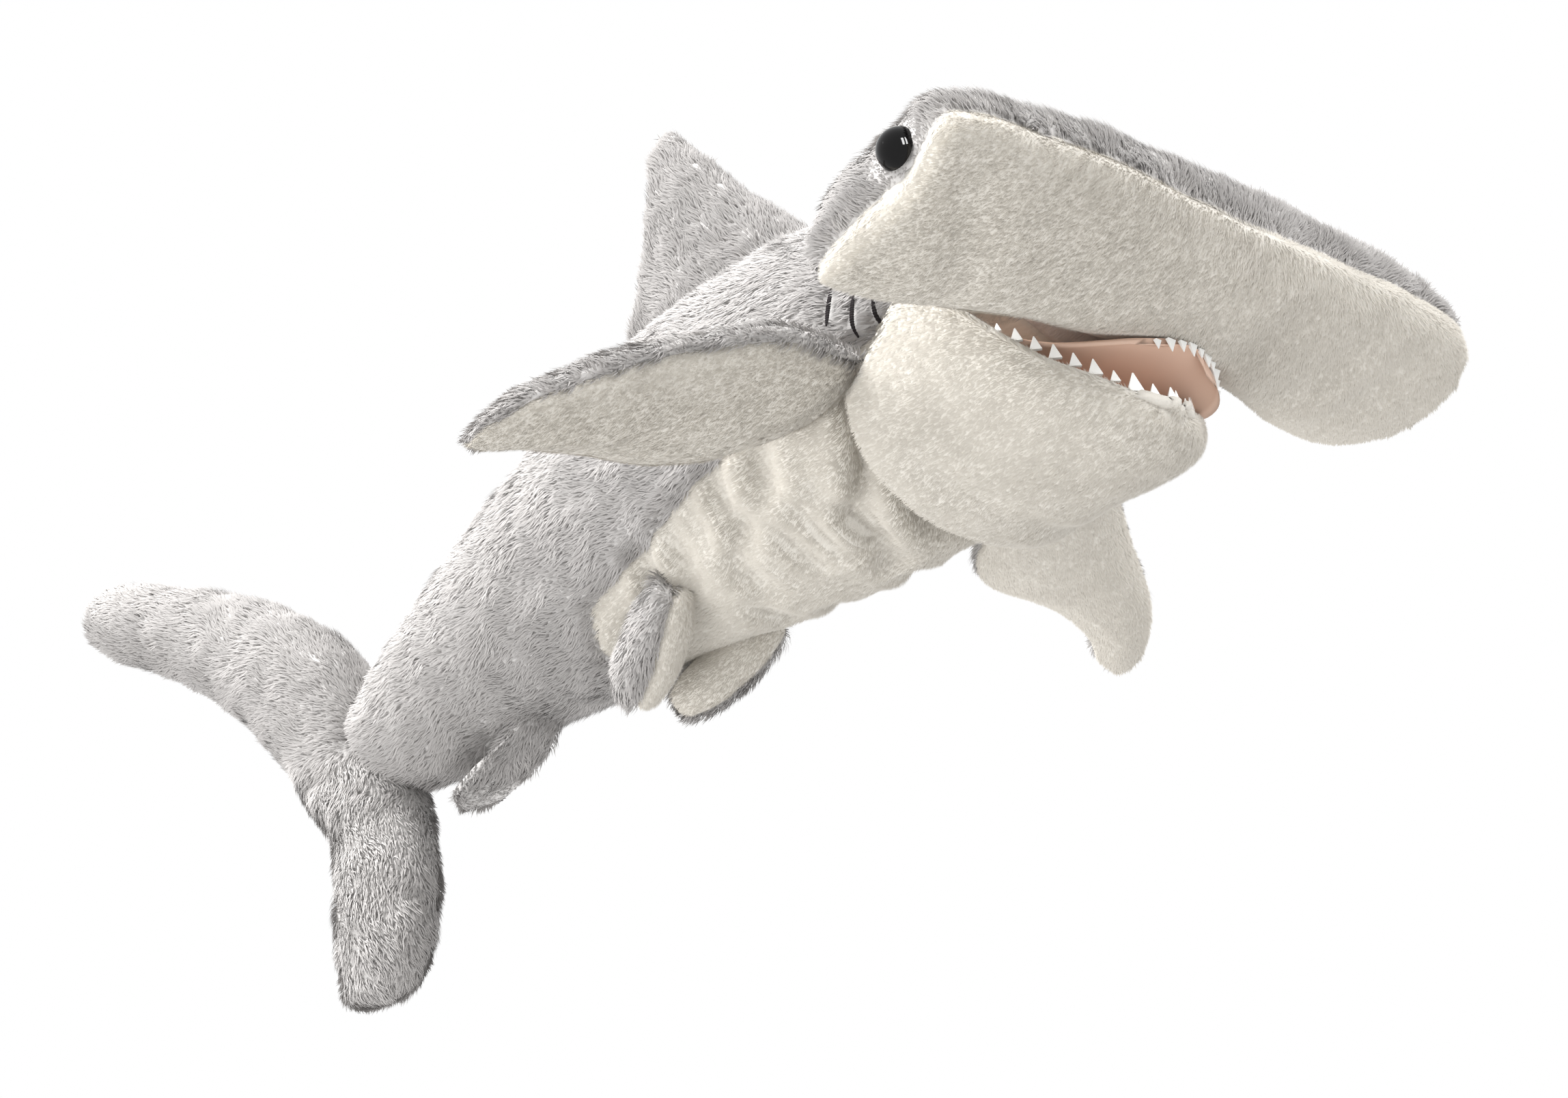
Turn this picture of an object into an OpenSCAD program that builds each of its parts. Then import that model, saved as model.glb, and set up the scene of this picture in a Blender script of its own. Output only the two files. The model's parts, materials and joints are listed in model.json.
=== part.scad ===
// Plush hammerhead shark, sewn from pile fabric over loose fibre stuffing.
// Design frame: origin on the body's axis at the shoulders, nose towards -Y, left side +X, up +Z.
// rest() tips and lifts the whole toy so that it stands on its chin and lower tail lobe.

/* [Body] */
// Radius of the body at the shoulders
shoulder_r = 45; // [43:0.5:46]
// Thickness of the pile fabric
cover_t = 2.2; // [1.5:0.1:3]

/* [Head] */
// Width of the hammer over its two end faces
hammer_span = 182; // [170:1:190]
// Front to back size of the hammer
hammer_chord = 52; // [46:1:54]
// Angle by which the hammer looks up from the body's axis
hammer_pitch = 18; // [15:1:20]
// Turn of the head towards the shark's right
head_turn = 6; // [0:1:8]
// Tilt of the head that raises its right end
head_roll = 3; // [0:1:4]
// Diameter of an eye
eye_d = 11; // [9:0.5:12]
// Height of a tooth
tooth_h = 4; // [3:0.5:5]

/* [Fins] */
// Thickness of a pectoral fin at its fullest
pectoral_t = 17; // [14:1:18]
// Thickness of the dorsal fin at its foot
dorsal_t = 20; // [16:1:22]
// Thickness of the tail lobes at their fullest
tail_t = 25; // [20:1:26]
// Thickness of a pelvic fin
pelvic_t = 12; // [10:1:12]

/* [Rest] */
// Angle that brings chin and lower tail lobe onto one level
rest_pitch = 10; // [9.8:0.1:10.2]
// Height of the shoulder point over the surface
rest_z = 67.75; // [60:0.05:75]
// Shift that centres the toy front to back
rest_y = -58.7; // [-70:0.1:-50]

/* [Hidden] */

grey = [0.72, 0.71, 0.72];
cream = [0.86, 0.84, 0.79];
tan_felt = [0.80, 0.62, 0.52];
white_felt = [0.95, 0.95, 0.94];
fibre = [0.96, 0.96, 0.94];
thread_grey = [0.35, 0.32, 0.34];
eye_black = [0.03, 0.03, 0.03];
washer_white = [0.9, 0.9, 0.88];

ring_n = 24;          // points round a stuffing
panel_n = 13;         // points across a panel
stuff_gap = 1.3;      // room between the body's covers and their stuffing
fin_gap = 0.25;       // the same in the thinner fins
fin_share = 0.8;      // the fins' fabric is trimmed thinner by this share
seam_gap = 1.2;       // half the angle left open between two panels at a seam
neck_y = -40;         // where the head turns
neck_lead = 15;       // how far behind it the turn sets in
neck_len = 40;        // length over which the turn comes in
shank_r = 1.7;        // eye shank
shank_l = 7;
shank_play = 0.05;
eye_sink = 0.12;      // share of its diameter by which an eye's ball lies behind its flat back
washer_r = 6;
washer_t = 1.6;
washer_gap = 0.2;
lining_t = 1.4;       // thickness of the mouth's felt

// Body stations: along the body, height, backward lean, share of the shoulder radius, seam angle
torso = [
    [-38, 0, -14, 0.97, 104], [-18, 0.5, -7, 1.00, 108], [0, 0.5, 0, 1.00, 113],
    [20, 0, 3, 0.98, 121], [40, -1.5, 6, 0.93, 130], [56, -4, 9, 0.87, 138],
    [66, -6, 11, 0.83, 152], [74, -8, 12, 0.80, 177], [95, -12.5, 15, 0.70, 177],
    [118, -19, 18, 0.59, 177], [137, -25, 20, 0.50, 177], [149, -29, 21, 0.42, 177]
];
belly_last = 7;

// Head stations behind the hammer: along, height, lean, half width, up, down
head = [
    [-82, 1, 0, 39, 20, 22.5], [-71, 1, -5, 41, 27, 22.5],
    [-58, 1, -10, 42, 35, 22], [-42, 0, -14, 42.5, 42.5, 20.5]
];

// Jaw stations: along, half width, height of the rim, height of the underside
jaw = [
    [-108, 7, -45, -49], [-104, 15.5, -42, -50.5], [-95, 27, -36, -51.5], [-84, 35, -31, -51.5],
    [-70, 39, -29, -51], [-56, 40, -28, -50], [-42, 39, -28, -48]
];

// ---------- point functions ----------

function up_dir(lean) = [0, sin(lean), cos(lean)];
function mix(a, b, t) = a + (b - a) * t;
function ease(t) = let (c = min(max(t, 0), 1)) c * c * (3 - 2 * c);
function spin_z(p, a) = [p.x * cos(a) - p.y * sin(a), p.x * sin(a) + p.y * cos(a), p.z];
function spin_y(p, a) = [p.x * cos(a) + p.z * sin(a), p.y, -p.x * sin(a) + p.z * cos(a)];

// The head's turn and roll, which come in smoothly over the neck
function posed(p) =
    let (w = ease((neck_y + neck_lead - p.y) / neck_len), q = p - [0, neck_y, 0])
    spin_z(spin_y(q, head_roll * w), -head_turn * w) + [0, neck_y, 0];

// A point on the body's skin, at an angle from the mid back towards the right side
function torso_pt(s, angle, inset) =
    let (r = s[3] * shoulder_r - inset)
    [-r * sin(angle), s[0], s[1]] + r * cos(angle) * up_dir(s[2]);

// A point on the head's skin behind the hammer
function head_pt(s, angle, inset) =
    let (h = (cos(angle) > 0 ? s[4] : s[5]) - inset)
    [-(s[3] - inset) * sin(angle), s[0], s[1]] + h * cos(angle) * up_dir(s[2]);

// Hammer stations: share of the half span, reach to the front, reach to the back, size share
hammer_y = -112;
hammer_z = -15.5;
hammer_half = [
    [0, 29, 21, 1], [0.34, 29.5, 23, 1], [0.62, 29, 28, 1], [0.86, 26, 29, 1],
    [0.95, 23, 26, 0.94], [1, 18, 21, 0.84]
];
hammer = concat(
    [for (i = [len(hammer_half) - 1 : -1 : 1]) let (s = hammer_half[i]) [-s[0], s[1], s[2], s[3]]],
    hammer_half);

// A point on the hammer's skin, at an angle from its front seam over the top
function swell(v, power) = sign(v) * pow(abs(v), power);
hammer_up_end = 20;    // height over the seam at the ends, and how much it gains by the middle
hammer_up_gain = 5;
hammer_down_end = 7;   // depth under the seam at the ends, and how much it gains by the middle
hammer_down_gain = 3;
chord_made = 52;       // chord for which the stations are given
chord_power = 0.75;    // how square the outline is along the chord and across it
face_power = 0.8;
function hammer_up(share) = hammer_up_end + hammer_up_gain * (1 - share * share);
function hammer_down(share) = hammer_down_end + hammer_down_gain * (1 - share * share);
function hammer_pt(s, angle, inset) =
    let (k = hammer_chord / chord_made,
         a = (s[1] + s[2]) / 2 * k - inset,
         shift = (s[1] - s[2]) / 2 * k,
         b = (sin(angle) > 0 ? hammer_up(s[0]) : hammer_down(s[0])) * s[3] - inset,
         fore = [0, -cos(hammer_pitch), sin(hammer_pitch)])
    [s[0] * hammer_span / 2, hammer_y, hammer_z]
        + (shift + a * swell(cos(angle), chord_power)) * fore
        + b * swell(sin(angle), face_power) * up_dir(hammer_pitch);

// A point on a fin: station [centre, half chord, half thickness], chord and face directions
function fin_pt(s, chord_dir, face_dir, angle, inset) =
    s[0] + (s[1] - inset) * cos(angle) * chord_dir + (s[2] - inset) * sin(angle) * face_dir;

// ---------- solids from points ----------

// A closed solid through a row of closed rings
module ring_solid(rings) {
    n = len(rings);
    m = len(rings[0]);
    sides = [for (i = [0 : n - 2], j = [0 : m - 1])
        let (k = (j + 1) % m, a = i * m + j, b = i * m + k, c = a + m, d = b + m)
        each [[a, b, d], [a, d, c]]];
    first = [for (j = [m - 1 : -1 : 0]) j];
    last = [for (j = [0 : m - 1]) (n - 1) * m + j];
    polyhedron(points = [for (r = rings) each r], faces = concat([first], sides, [last]));
}

// A closed solid between an outer and an inner grid of points
module panel_solid(outer, inner) {
    n = len(outer);
    m = len(outer[0]);
    o = n * m;
    skins = [for (i = [0 : n - 2], j = [0 : m - 2])
        let (a = i * m + j, b = a + 1, c = a + m, d = c + 1)
        each [[a, b, d], [a, d, c], [o + a, o + d, o + b], [o + a, o + c, o + d]]];
    ends = [for (j = [0 : m - 2])
        let (a = j, b = j + 1, c = (n - 1) * m + j, d = c + 1)
        each [[a, o + b, b], [a, o + a, o + b], [c, d, o + d], [c, o + d, o + c]]];
    edges = [for (i = [0 : n - 2])
        let (a = i * m, c = a + m, b = a + m - 1, d = c + m - 1)
        each [[a, c, o + c], [a, o + c, o + a], [b, o + d, d], [b, o + b, o + d]]];
    polyhedron(points = concat([for (r = outer) each r], [for (r = inner) each r]),
        faces = concat(skins, ends, edges));
}

// Stand the toy on its chin and lower tail lobe
module rest() {
    translate([0, rest_y, rest_z]) rotate([rest_pitch, 0, 0]) children();
}

// ---------- body ----------

module torso_panel(rows, from, to) {
    grid = [for (inset = [0, cover_t]) [for (s = rows) [for (j = [0 : panel_n - 1])
        posed(torso_pt(s, mix(from(s), to(s), j / (panel_n - 1)), inset))]]];
    panel_solid(grid[0], grid[1]);
}

module body_stuffing() {
    color(fibre) rest() ring_solid([for (s = torso) [for (j = [0 : ring_n - 1])
        posed(torso_pt(s, 360 * j / ring_n, cover_t + stuff_gap))]]);
}

module back_panel_right() {
    color(grey) rest() torso_panel(torso, function (s) seam_gap, function (s) s[4] - seam_gap);
}

module back_panel_left() {
    color(grey) rest() torso_panel(torso, function (s) 360 - s[4] + seam_gap, function (s) 360 - seam_gap);
}

module belly_panel() {
    rows = [for (i = [0 : belly_last]) torso[i]];
    color(cream) rest()
        torso_panel(rows, function (s) s[4] + seam_gap, function (s) 360 - s[4] - seam_gap);
}

// Satin-stitched gill lines on one flank: the first one's place, the step to the next, and a line's size
gill_n = 4;
gill_first = [44.8, -36, 8];
gill_step = [-0.35, -7, -5];
gill_lean = 14;
gill_l = 8;
gill_r = 0.7;
module gills(side) {
    color(thread_grey) rest() for (k = [0 : gill_n - 1]) {
        p = gill_first + k * gill_step;
        translate(posed([side * p.x, p.y, p.z])) rotate([-gill_lean, 0, 0])
            cylinder(r = gill_r, h = gill_l, center = true, $fn = 16);
    }
}

module gill_stitches_right() { gills(-1); }
module gill_stitches_left() { gills(1); }

// ---------- head ----------

module head_panel(from, to) {
    grid = [for (inset = [0, cover_t]) [for (s = head) [for (j = [0 : panel_n - 1])
        posed(head_pt(s, mix(from, to, j / (panel_n - 1)), inset))]]];
    panel_solid(grid[0], grid[1]);
}

module head_stuffing() {
    color(fibre) rest() ring_solid([for (s = head) [for (j = [0 : ring_n - 1])
        posed(head_pt(s, 360 * j / ring_n, cover_t + stuff_gap))]]);
}

crown_edge = 100;      // angle from the mid back to the seam between crown and cheek
cheek_edge = 150;      // angle to the cheek's lower edge
module crown_panel() { color(grey) rest() head_panel(-crown_edge + seam_gap, crown_edge - seam_gap); }
module cheek_panel_right() { color(cream) rest() head_panel(crown_edge + seam_gap, cheek_edge); }
module cheek_panel_left() {
    color(cream) rest() head_panel(360 - cheek_edge, 360 - crown_edge - seam_gap);
}

module hammer_panel(from, to) {
    grid = [for (inset = [0, cover_t]) [for (s = hammer) [for (j = [0 : panel_n - 1])
        posed(hammer_pt(s, mix(from, to, j / (panel_n - 1)), inset))]]];
    panel_solid(grid[0], grid[1]);
}

module hammer_top_panel() { color(grey) rest() hammer_panel(seam_gap, 180 - seam_gap); }
module hammer_under_panel() { color(cream) rest() hammer_panel(180 + seam_gap, 360 - seam_gap); }

// Outline of the hammer at its end, moved in from the end face
function hammer_ring(side, inset, depth) =
    let (e = hammer_half[len(hammer_half) - 1])
    [for (j = [0 : ring_n - 1])
        posed(hammer_pt([side, e[1], e[2], e[3]], side * 360 * j / ring_n, inset) - [side * depth, 0, 0])];

// Place and direction of an eye: out along the hammer
eye_y = -111;
eye_z = -6.5;
module at_eye(side) {
    centre = posed([side * hammer_span / 2, eye_y, eye_z]);
    translate(centre) rotate([0, 0, -head_turn]) rotate([0, head_roll, 0])
        rotate([0, side * 90, 0]) children();
}

stuffed_to = 0.9;      // share of the half span that is stuffed; the washer lies beyond it
module hammer_stuffing() {
    inset = cover_t + stuff_gap;
    color(fibre) rest() ring_solid([for (s = hammer) if (abs(s[0]) < stuffed_to)
        [for (j = [0 : ring_n - 1]) posed(hammer_pt(s, 360 * j / ring_n, inset))]]);
}

module hammer_end(side) {
    gap = cover_t + stuff_gap;
    color(grey) rest() difference() {
        ring_solid([hammer_ring(side, gap, cover_t), hammer_ring(side, gap, 0)]);
        at_eye(side) cylinder(r = shank_r + shank_play, h = 2 * shank_l, center = true, $fn = 32);
    }
}

module hammer_end_right() { hammer_end(-1); }
module hammer_end_left() { hammer_end(1); }

// Safety eye: a domed bead with a flat back and a shank through the fabric
module eye(side) {
    color(eye_black) rest() at_eye(side) {
        intersection() {
            translate([0, 0, -eye_d * eye_sink]) sphere(d = eye_d, $fn = 48);
            cylinder(d = eye_d, h = eye_d, $fn = 48);
        }
        translate([0, 0, -shank_l]) cylinder(r = shank_r, h = shank_l + 0.5, $fn = 32);
    }
}

module eye_right() { eye(-1); }
module eye_left() { eye(1); }

// Washer pushed onto the shank inside the fabric
module eye_washer(side) {
    color(washer_white) rest() at_eye(side)
        translate([0, 0, -cover_t - washer_gap - washer_t]) difference() {
            cylinder(r = washer_r, h = washer_t, $fn = 48);
            translate([0, 0, -1]) cylinder(r = shank_r + shank_play, h = washer_t + 2, $fn = 32);
        }
}

module eye_washer_right() { eye_washer(-1); }
module eye_washer_left() { eye_washer(1); }

// ---------- mouth ----------

function jaw_pt(s, angle, inset) =
    [-(s[1] - inset) * cos(angle), s[0], s[2] - (s[2] - s[3] - inset) * sin(angle)];

// Dished upper face of the jaw, across from the right rim to the left rim
dish_most = 7;
dish_share = 0.4;
function jaw_floor(s, t, drop) =
    let (w = s[1] - cover_t - stuff_gap,
         x = mix(-w, w, t),
         dish = min(dish_most, (s[2] - s[3]) * dish_share))
    [x, s[0], s[2] - dish * (1 - pow(x / w, 2)) - drop];

module jaw_panel() {
    grid = [for (inset = [0, cover_t]) [for (s = jaw) [for (j = [0 : ring_n])
        posed(jaw_pt(s, 180 * j / ring_n, inset))]]];
    color(cream) rest() panel_solid(grid[0], grid[1]);
}

module jaw_lining() {
    rows = [for (i = [1 : len(jaw) - 1]) jaw[i]];
    grid = [for (drop = [0, lining_t]) [for (s = rows) [for (j = [0 : panel_n - 1])
        posed(jaw_floor(s, j / (panel_n - 1), drop))]]];
    color(tan_felt) rest() panel_solid(grid[1], grid[0]);
}

jaw_room = 3;          // how far the jaw's stuffing stays inside and under its rim
jaw_fill_drop = 2.2;   // how far it stays under the lining's upper face
jaw_fill_edge = 0.17;  // share of the lining's width at each side that it leaves free
module jaw_stuffing() {
    rows = [for (i = [1 : len(jaw) - 1]) jaw[i]];
    inset = cover_t + stuff_gap;
    under = [for (s = rows) [for (j = [0 : panel_n - 1]) posed(jaw_pt(
        [s[0], s[1] - jaw_room, s[2] - jaw_room, s[3]], 180 * j / (panel_n - 1), inset))]];
    upper = [for (s = rows) [for (j = [0 : panel_n - 1])
        posed(jaw_floor(s, mix(jaw_fill_edge, 1 - jaw_fill_edge, j / (panel_n - 1)), jaw_fill_drop))]];
    color(fibre) rest() panel_solid(under, upper);
}

// A felt tooth: a flat triangle that is stitched in by its foot
tooth_t = 0.8;
tooth_foot = 1;
tooth_half_w = 0.55;   // half width as a share of the height
small_tooth = 0.75;    // size of every second tooth
module tooth(size) {
    rotate([90, 0, 0]) translate([0, 0, -tooth_t / 2]) linear_extrude(tooth_t)
        polygon([[-size * tooth_half_w, -tooth_foot], [size * tooth_half_w, -tooth_foot], [0, size]]);
}

// Lower teeth on each side: the places of the first and last, and their turns round the jaw
lower_first = [5, -105.5, -43.5];
lower_last = [30, -88, -32.3];
lower_turn = [15, 50];
lower_n = 5;
lower_steps = 4.6;
back_power = 1.6;      // the rim runs back ever faster
rise_power = 1.3;      // and up
module lower_teeth() {
    color(white_felt) rest() for (side = [-1, 1], k = [0 : lower_n - 1]) {
        t = k / lower_steps;
        x = side * mix(lower_first.x, lower_last.x, t);
        y = mix(lower_first.y, lower_last.y, pow(t, back_power));
        z = mix(lower_first.z, lower_last.z, pow(t, rise_power));
        translate(posed([x, y, z])) rotate([0, 0, side * mix(lower_turn[0], lower_turn[1], t) - head_turn])
            tooth(tooth_h * (k % 2 == 0 ? 1 : small_tooth));
    }
}

palate_rows = [-90, -74, -58];
palate_w = 60;
palate_z = -21.4;
module palate_lining() {
    grid = [for (z = [palate_z, palate_z - lining_t]) [for (y = palate_rows) [for (j = [0 : panel_n - 1])
        posed([mix(-palate_w / 2, palate_w / 2, j / (panel_n - 1)), y, z])]]];
    color(tan_felt) rest() panel_solid(grid[1], grid[0]);
}

// Upper teeth: how many on each side of the middle one, their spacing and places
upper_side_n = 3;
upper_pitch = 8;
upper_y = -91;
upper_z = -25.2;
upper_bow = 0.24;      // the row runs back by this times the tooth's number squared
upper_share = 0.9;     // size against the lower teeth
module upper_teeth() {
    color(white_felt) rest() for (k = [-upper_side_n : upper_side_n])
        translate(posed([k * upper_pitch, upper_y + upper_bow * k * k, upper_z]))
            rotate([180, 0, -head_turn])
                tooth(tooth_h * upper_share * (k % 2 == 0 ? 1 : small_tooth));
}

// ---------- fins ----------

module fin_cover(rows, chord_dir, face_dir, from) {
    grid = [for (inset = [0, cover_t * fin_share]) [for (s = rows) [for (j = [0 : panel_n - 1])
        fin_pt(s, chord_dir, face_dir, from + mix(seam_gap, 180 - seam_gap, j / (panel_n - 1)), inset)]]];
    panel_solid(grid[0], grid[1]);
}

module fin_stuffing(rows, chord_dir, face_dir) {
    inset = cover_t * fin_share + fin_gap;
    ring_solid([for (s = rows) [for (j = [0 : ring_n - 1])
        fin_pt(s, chord_dir, face_dir, 360 * j / ring_n, inset)]]);
}

// Right pectoral fin, root to tip
pectoral_chord = [0.10, 0.955, -0.28];
pectoral_face = [0.22, 0.26, 0.94];
pectoral_rows = [
    [[-49, -24, -18], 22, 5], [[-58, -21, -18], 24, pectoral_t / 2 - 1],
    [[-74, -15, -19.5], 24.5, pectoral_t / 2], [[-92, -8, -23], 21.5, pectoral_t / 2 - 0.5],
    [[-110, -2, -28], 16, pectoral_t / 2 - 1.5], [[-121, 3, -32], 11, pectoral_t / 2 - 3],
    [[-127, 6, -35], 6.5, 3.5]
];

module left_side() { mirror([1, 0, 0]) children(); }

module pectoral_top() { color(grey) fin_cover(pectoral_rows, pectoral_chord, pectoral_face, 0); }
module pectoral_under() { color(cream) fin_cover(pectoral_rows, pectoral_chord, pectoral_face, 180); }
module pectoral_stuffing() { color(fibre) fin_stuffing(pectoral_rows, pectoral_chord, pectoral_face); }

module pectoral_top_right() { rest() pectoral_top(); }
module pectoral_under_right() { rest() pectoral_under(); }
module pectoral_stuffing_right() { rest() pectoral_stuffing(); }
module pectoral_top_left() { rest() left_side() pectoral_top(); }
module pectoral_under_left() { rest() left_side() pectoral_under(); }
module pectoral_stuffing_left() { rest() left_side() pectoral_stuffing(); }

// Right pelvic fin, root to tip; its grey face looks out and back
pelvic_chord = [0.506, 0.296, 0.814];
pelvic_face = [-0.757, 0.605, 0.25];
pelvic_rows = [
    [[-26, 42, -44], 8, 3.5], [[-24, 45.5, -47], 9.5, pelvic_t / 2 - 0.5],
    [[-19.5, 53.5, -52.5], 9.5, pelvic_t / 2],
    [[-15, 61, -57.5], 7.5, pelvic_t / 2 - 1], [[-12.5, 65.5, -60], 4.5, 3]
];

module pelvic_outer() { color(grey) fin_cover(pelvic_rows, pelvic_chord, pelvic_face, 0); }
module pelvic_inner() { color(cream) fin_cover(pelvic_rows, pelvic_chord, pelvic_face, 180); }
module pelvic_stuffing() { color(fibre) fin_stuffing(pelvic_rows, pelvic_chord, pelvic_face); }

module pelvic_outer_right() { rest() pelvic_outer(); }
module pelvic_inner_right() { rest() pelvic_inner(); }
module pelvic_stuffing_right() { rest() pelvic_stuffing(); }
module pelvic_outer_left() { rest() left_side() pelvic_outer(); }
module pelvic_inner_left() { rest() left_side() pelvic_inner(); }
module pelvic_stuffing_left() { rest() left_side() pelvic_stuffing(); }

// Dorsal fin on the mid back
dorsal_chord = [0, -1, 0];
side_face = [-1, 0, 0];
dorsal_rows = [
    [[0, 22, 49], 35, 5], [[0, 23.5, 54], 31, dorsal_t / 2 - 2], [[0, 27, 68], 22, dorsal_t / 2 - 2.5],
    [[0, 30.5, 82], 13.5, 6.5], [[0, 33, 94], 7.5, 5], [[0, 34, 100], 3.5, 3]
];

module dorsal_cover_right() { color(grey) rest() fin_cover(dorsal_rows, dorsal_chord, side_face, 0); }
module dorsal_cover_left() { color(grey) rest() fin_cover(dorsal_rows, dorsal_chord, side_face, 180); }
module dorsal_stuffing() { color(fibre) rest() fin_stuffing(dorsal_rows, dorsal_chord, side_face); }

// Small anal fin under the tail
anal_chord = [0, 0.97, -0.22];
anal_rows = [
    [[0, 111, -50], 9, 3.5], [[0, 114.5, -53], 9.5, 6],
    [[0, 121, -56.5], 8.5, 6.5], [[0, 127.5, -59], 5.5, 4.5]
];

module anal_cover_right() { color(grey) rest() fin_cover(anal_rows, anal_chord, side_face, 0); }
module anal_cover_left() { color(grey) rest() fin_cover(anal_rows, anal_chord, side_face, 180); }
module anal_stuffing() { color(fibre) rest() fin_stuffing(anal_rows, anal_chord, side_face); }

// Tail fin, from the upper lobe's tip down to the lower lobe's tip
// Stations: centre, half chord, half thickness, direction of the chord
tail_rows = [
    [[0, 266, 51], 8, 5, 32], [[0, 253, 44], 12, tail_t / 2 - 3, 32],
    [[0, 224, 26], 15.5, tail_t / 2 - 1.5, 36], [[0, 193, 1], 19, tail_t / 2, 45],
    [[0, 176, -26], 19.5, tail_t / 2, 75], [[0, 166, -55], 18, tail_t / 2 - 1, 97],
    [[0, 168, -82], 16, tail_t / 2 - 2, 93], [[0, 171, -97], 11, 5.5, 90]
];
function tail_pt(s, angle, inset) =
    fin_pt(s, [0, sin(s[3]), -cos(s[3])], side_face, angle, inset);

module tail_cover(from) {
    grid = [for (inset = [0, cover_t]) [for (s = tail_rows) [for (j = [0 : panel_n - 1])
        tail_pt(s, from + mix(seam_gap, 180 - seam_gap, j / (panel_n - 1)), inset)]]];
    color(grey) rest() panel_solid(grid[0], grid[1]);
}

module tail_cover_right() { tail_cover(0); }
module tail_cover_left() { tail_cover(180); }
module tail_stuffing() {
    color(fibre) rest() ring_solid([for (s = tail_rows) [for (j = [0 : ring_n - 1])
        tail_pt(s, 360 * j / ring_n, cover_t + fin_gap)]]);
}

body_stuffing();
back_panel_right();
back_panel_left();
belly_panel();
gill_stitches_right();
gill_stitches_left();
head_stuffing();
crown_panel();
cheek_panel_right();
cheek_panel_left();
hammer_stuffing();
hammer_top_panel();
hammer_under_panel();
hammer_end_right();
hammer_end_left();
eye_right();
eye_left();
eye_washer_right();
eye_washer_left();
palate_lining();
upper_teeth();
jaw_panel();
jaw_stuffing();
jaw_lining();
lower_teeth();
pectoral_top_right();
pectoral_under_right();
pectoral_stuffing_right();
pectoral_top_left();
pectoral_under_left();
pectoral_stuffing_left();
pelvic_outer_right();
pelvic_inner_right();
pelvic_stuffing_right();
pelvic_outer_left();
pelvic_inner_left();
pelvic_stuffing_left();
dorsal_cover_right();
dorsal_cover_left();
dorsal_stuffing();
anal_cover_right();
anal_cover_left();
anal_stuffing();
tail_cover_right();
tail_cover_left();
tail_stuffing();
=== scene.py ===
"""Looks of a plush hammerhead shark: sewn and stuffed pile fabric, felt mouth and teeth, bead eyes."""

import json
import math

import bpy
import bmesh
import numpy as np
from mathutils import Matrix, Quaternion, Vector

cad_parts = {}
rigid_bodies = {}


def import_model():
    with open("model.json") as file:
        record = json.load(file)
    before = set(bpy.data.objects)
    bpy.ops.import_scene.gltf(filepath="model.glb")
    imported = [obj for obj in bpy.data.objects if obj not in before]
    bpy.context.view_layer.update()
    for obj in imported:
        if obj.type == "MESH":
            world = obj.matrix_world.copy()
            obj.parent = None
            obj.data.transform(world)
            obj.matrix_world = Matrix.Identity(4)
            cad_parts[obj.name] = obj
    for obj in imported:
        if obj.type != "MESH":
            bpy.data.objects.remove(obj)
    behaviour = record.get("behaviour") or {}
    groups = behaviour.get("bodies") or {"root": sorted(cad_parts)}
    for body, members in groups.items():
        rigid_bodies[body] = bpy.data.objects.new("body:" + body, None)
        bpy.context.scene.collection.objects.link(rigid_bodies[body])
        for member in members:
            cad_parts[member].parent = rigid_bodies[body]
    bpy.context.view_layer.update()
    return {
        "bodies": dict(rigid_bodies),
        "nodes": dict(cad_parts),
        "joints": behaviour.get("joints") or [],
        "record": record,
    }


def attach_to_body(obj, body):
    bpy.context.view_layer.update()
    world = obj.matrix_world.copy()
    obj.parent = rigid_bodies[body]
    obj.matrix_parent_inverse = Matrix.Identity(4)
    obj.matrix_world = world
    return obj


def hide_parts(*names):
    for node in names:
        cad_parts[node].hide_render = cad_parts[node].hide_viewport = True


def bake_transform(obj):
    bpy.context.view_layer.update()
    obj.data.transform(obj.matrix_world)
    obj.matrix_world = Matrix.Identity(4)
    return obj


bl_info = {
    "name": "Plush hammerhead shark",
    "version": (1, 0, 0),
    "blender": (4, 5, 0),
    "location": "View3D > Sidebar > Plush shark",
    "description": "Builds the fabric, pile and small parts of a plush hammerhead shark on its frame",
    "category": "Object",
}

MM = 0.001

# The design frame is that of the frame's source: millimetres, origin on the body's axis at the
# shoulders, nose towards -Y. The row frame is this one tipped and lifted onto the floor.
REST_PITCH = 10.0
REST_Y = -58.7
REST_Z = 67.75
NECK_Y = -40.0
NECK_LEAD = 15.0
NECK_LENGTH = 40.0
HEAD_TURN = 6.0
HEAD_ROLL = 3.0

SHOULDER_R = 45.0
HAMMER_HALF = 91.0
HAMMER_PITCH = 18.0
HAMMER_PLACE = (-112.0, -15.5)
EYE_PLACE = (91.0, -111.0, -6.5)
EYE_R = 5.5


# ---------- numbers and directions ----------


def ease(t):
    t = np.clip(t, 0.0, 1.0)
    return t * t * (3.0 - 2.0 * t)


def unit(v):
    return v / np.maximum(np.linalg.norm(v, axis=-1, keepdims=True), 1e-9)


def up_dir(lean):
    lean = np.radians(lean)
    return np.stack([np.zeros_like(lean), np.sin(lean), np.cos(lean)], -1)


def posed(p):
    """The head's turn and roll, which come in smoothly over the neck."""
    w = ease((NECK_Y + NECK_LEAD - p[..., 1]) / NECK_LENGTH)
    x, y, z = p[..., 0], p[..., 1] - NECK_Y, p[..., 2]
    roll = np.radians(HEAD_ROLL) * w
    x, z = x * np.cos(roll) + z * np.sin(roll), -x * np.sin(roll) + z * np.cos(roll)
    turn = -np.radians(HEAD_TURN) * w
    x, y = x * np.cos(turn) - y * np.sin(turn), x * np.sin(turn) + y * np.cos(turn)
    return np.stack([x, y + NECK_Y, z], -1)


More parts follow.
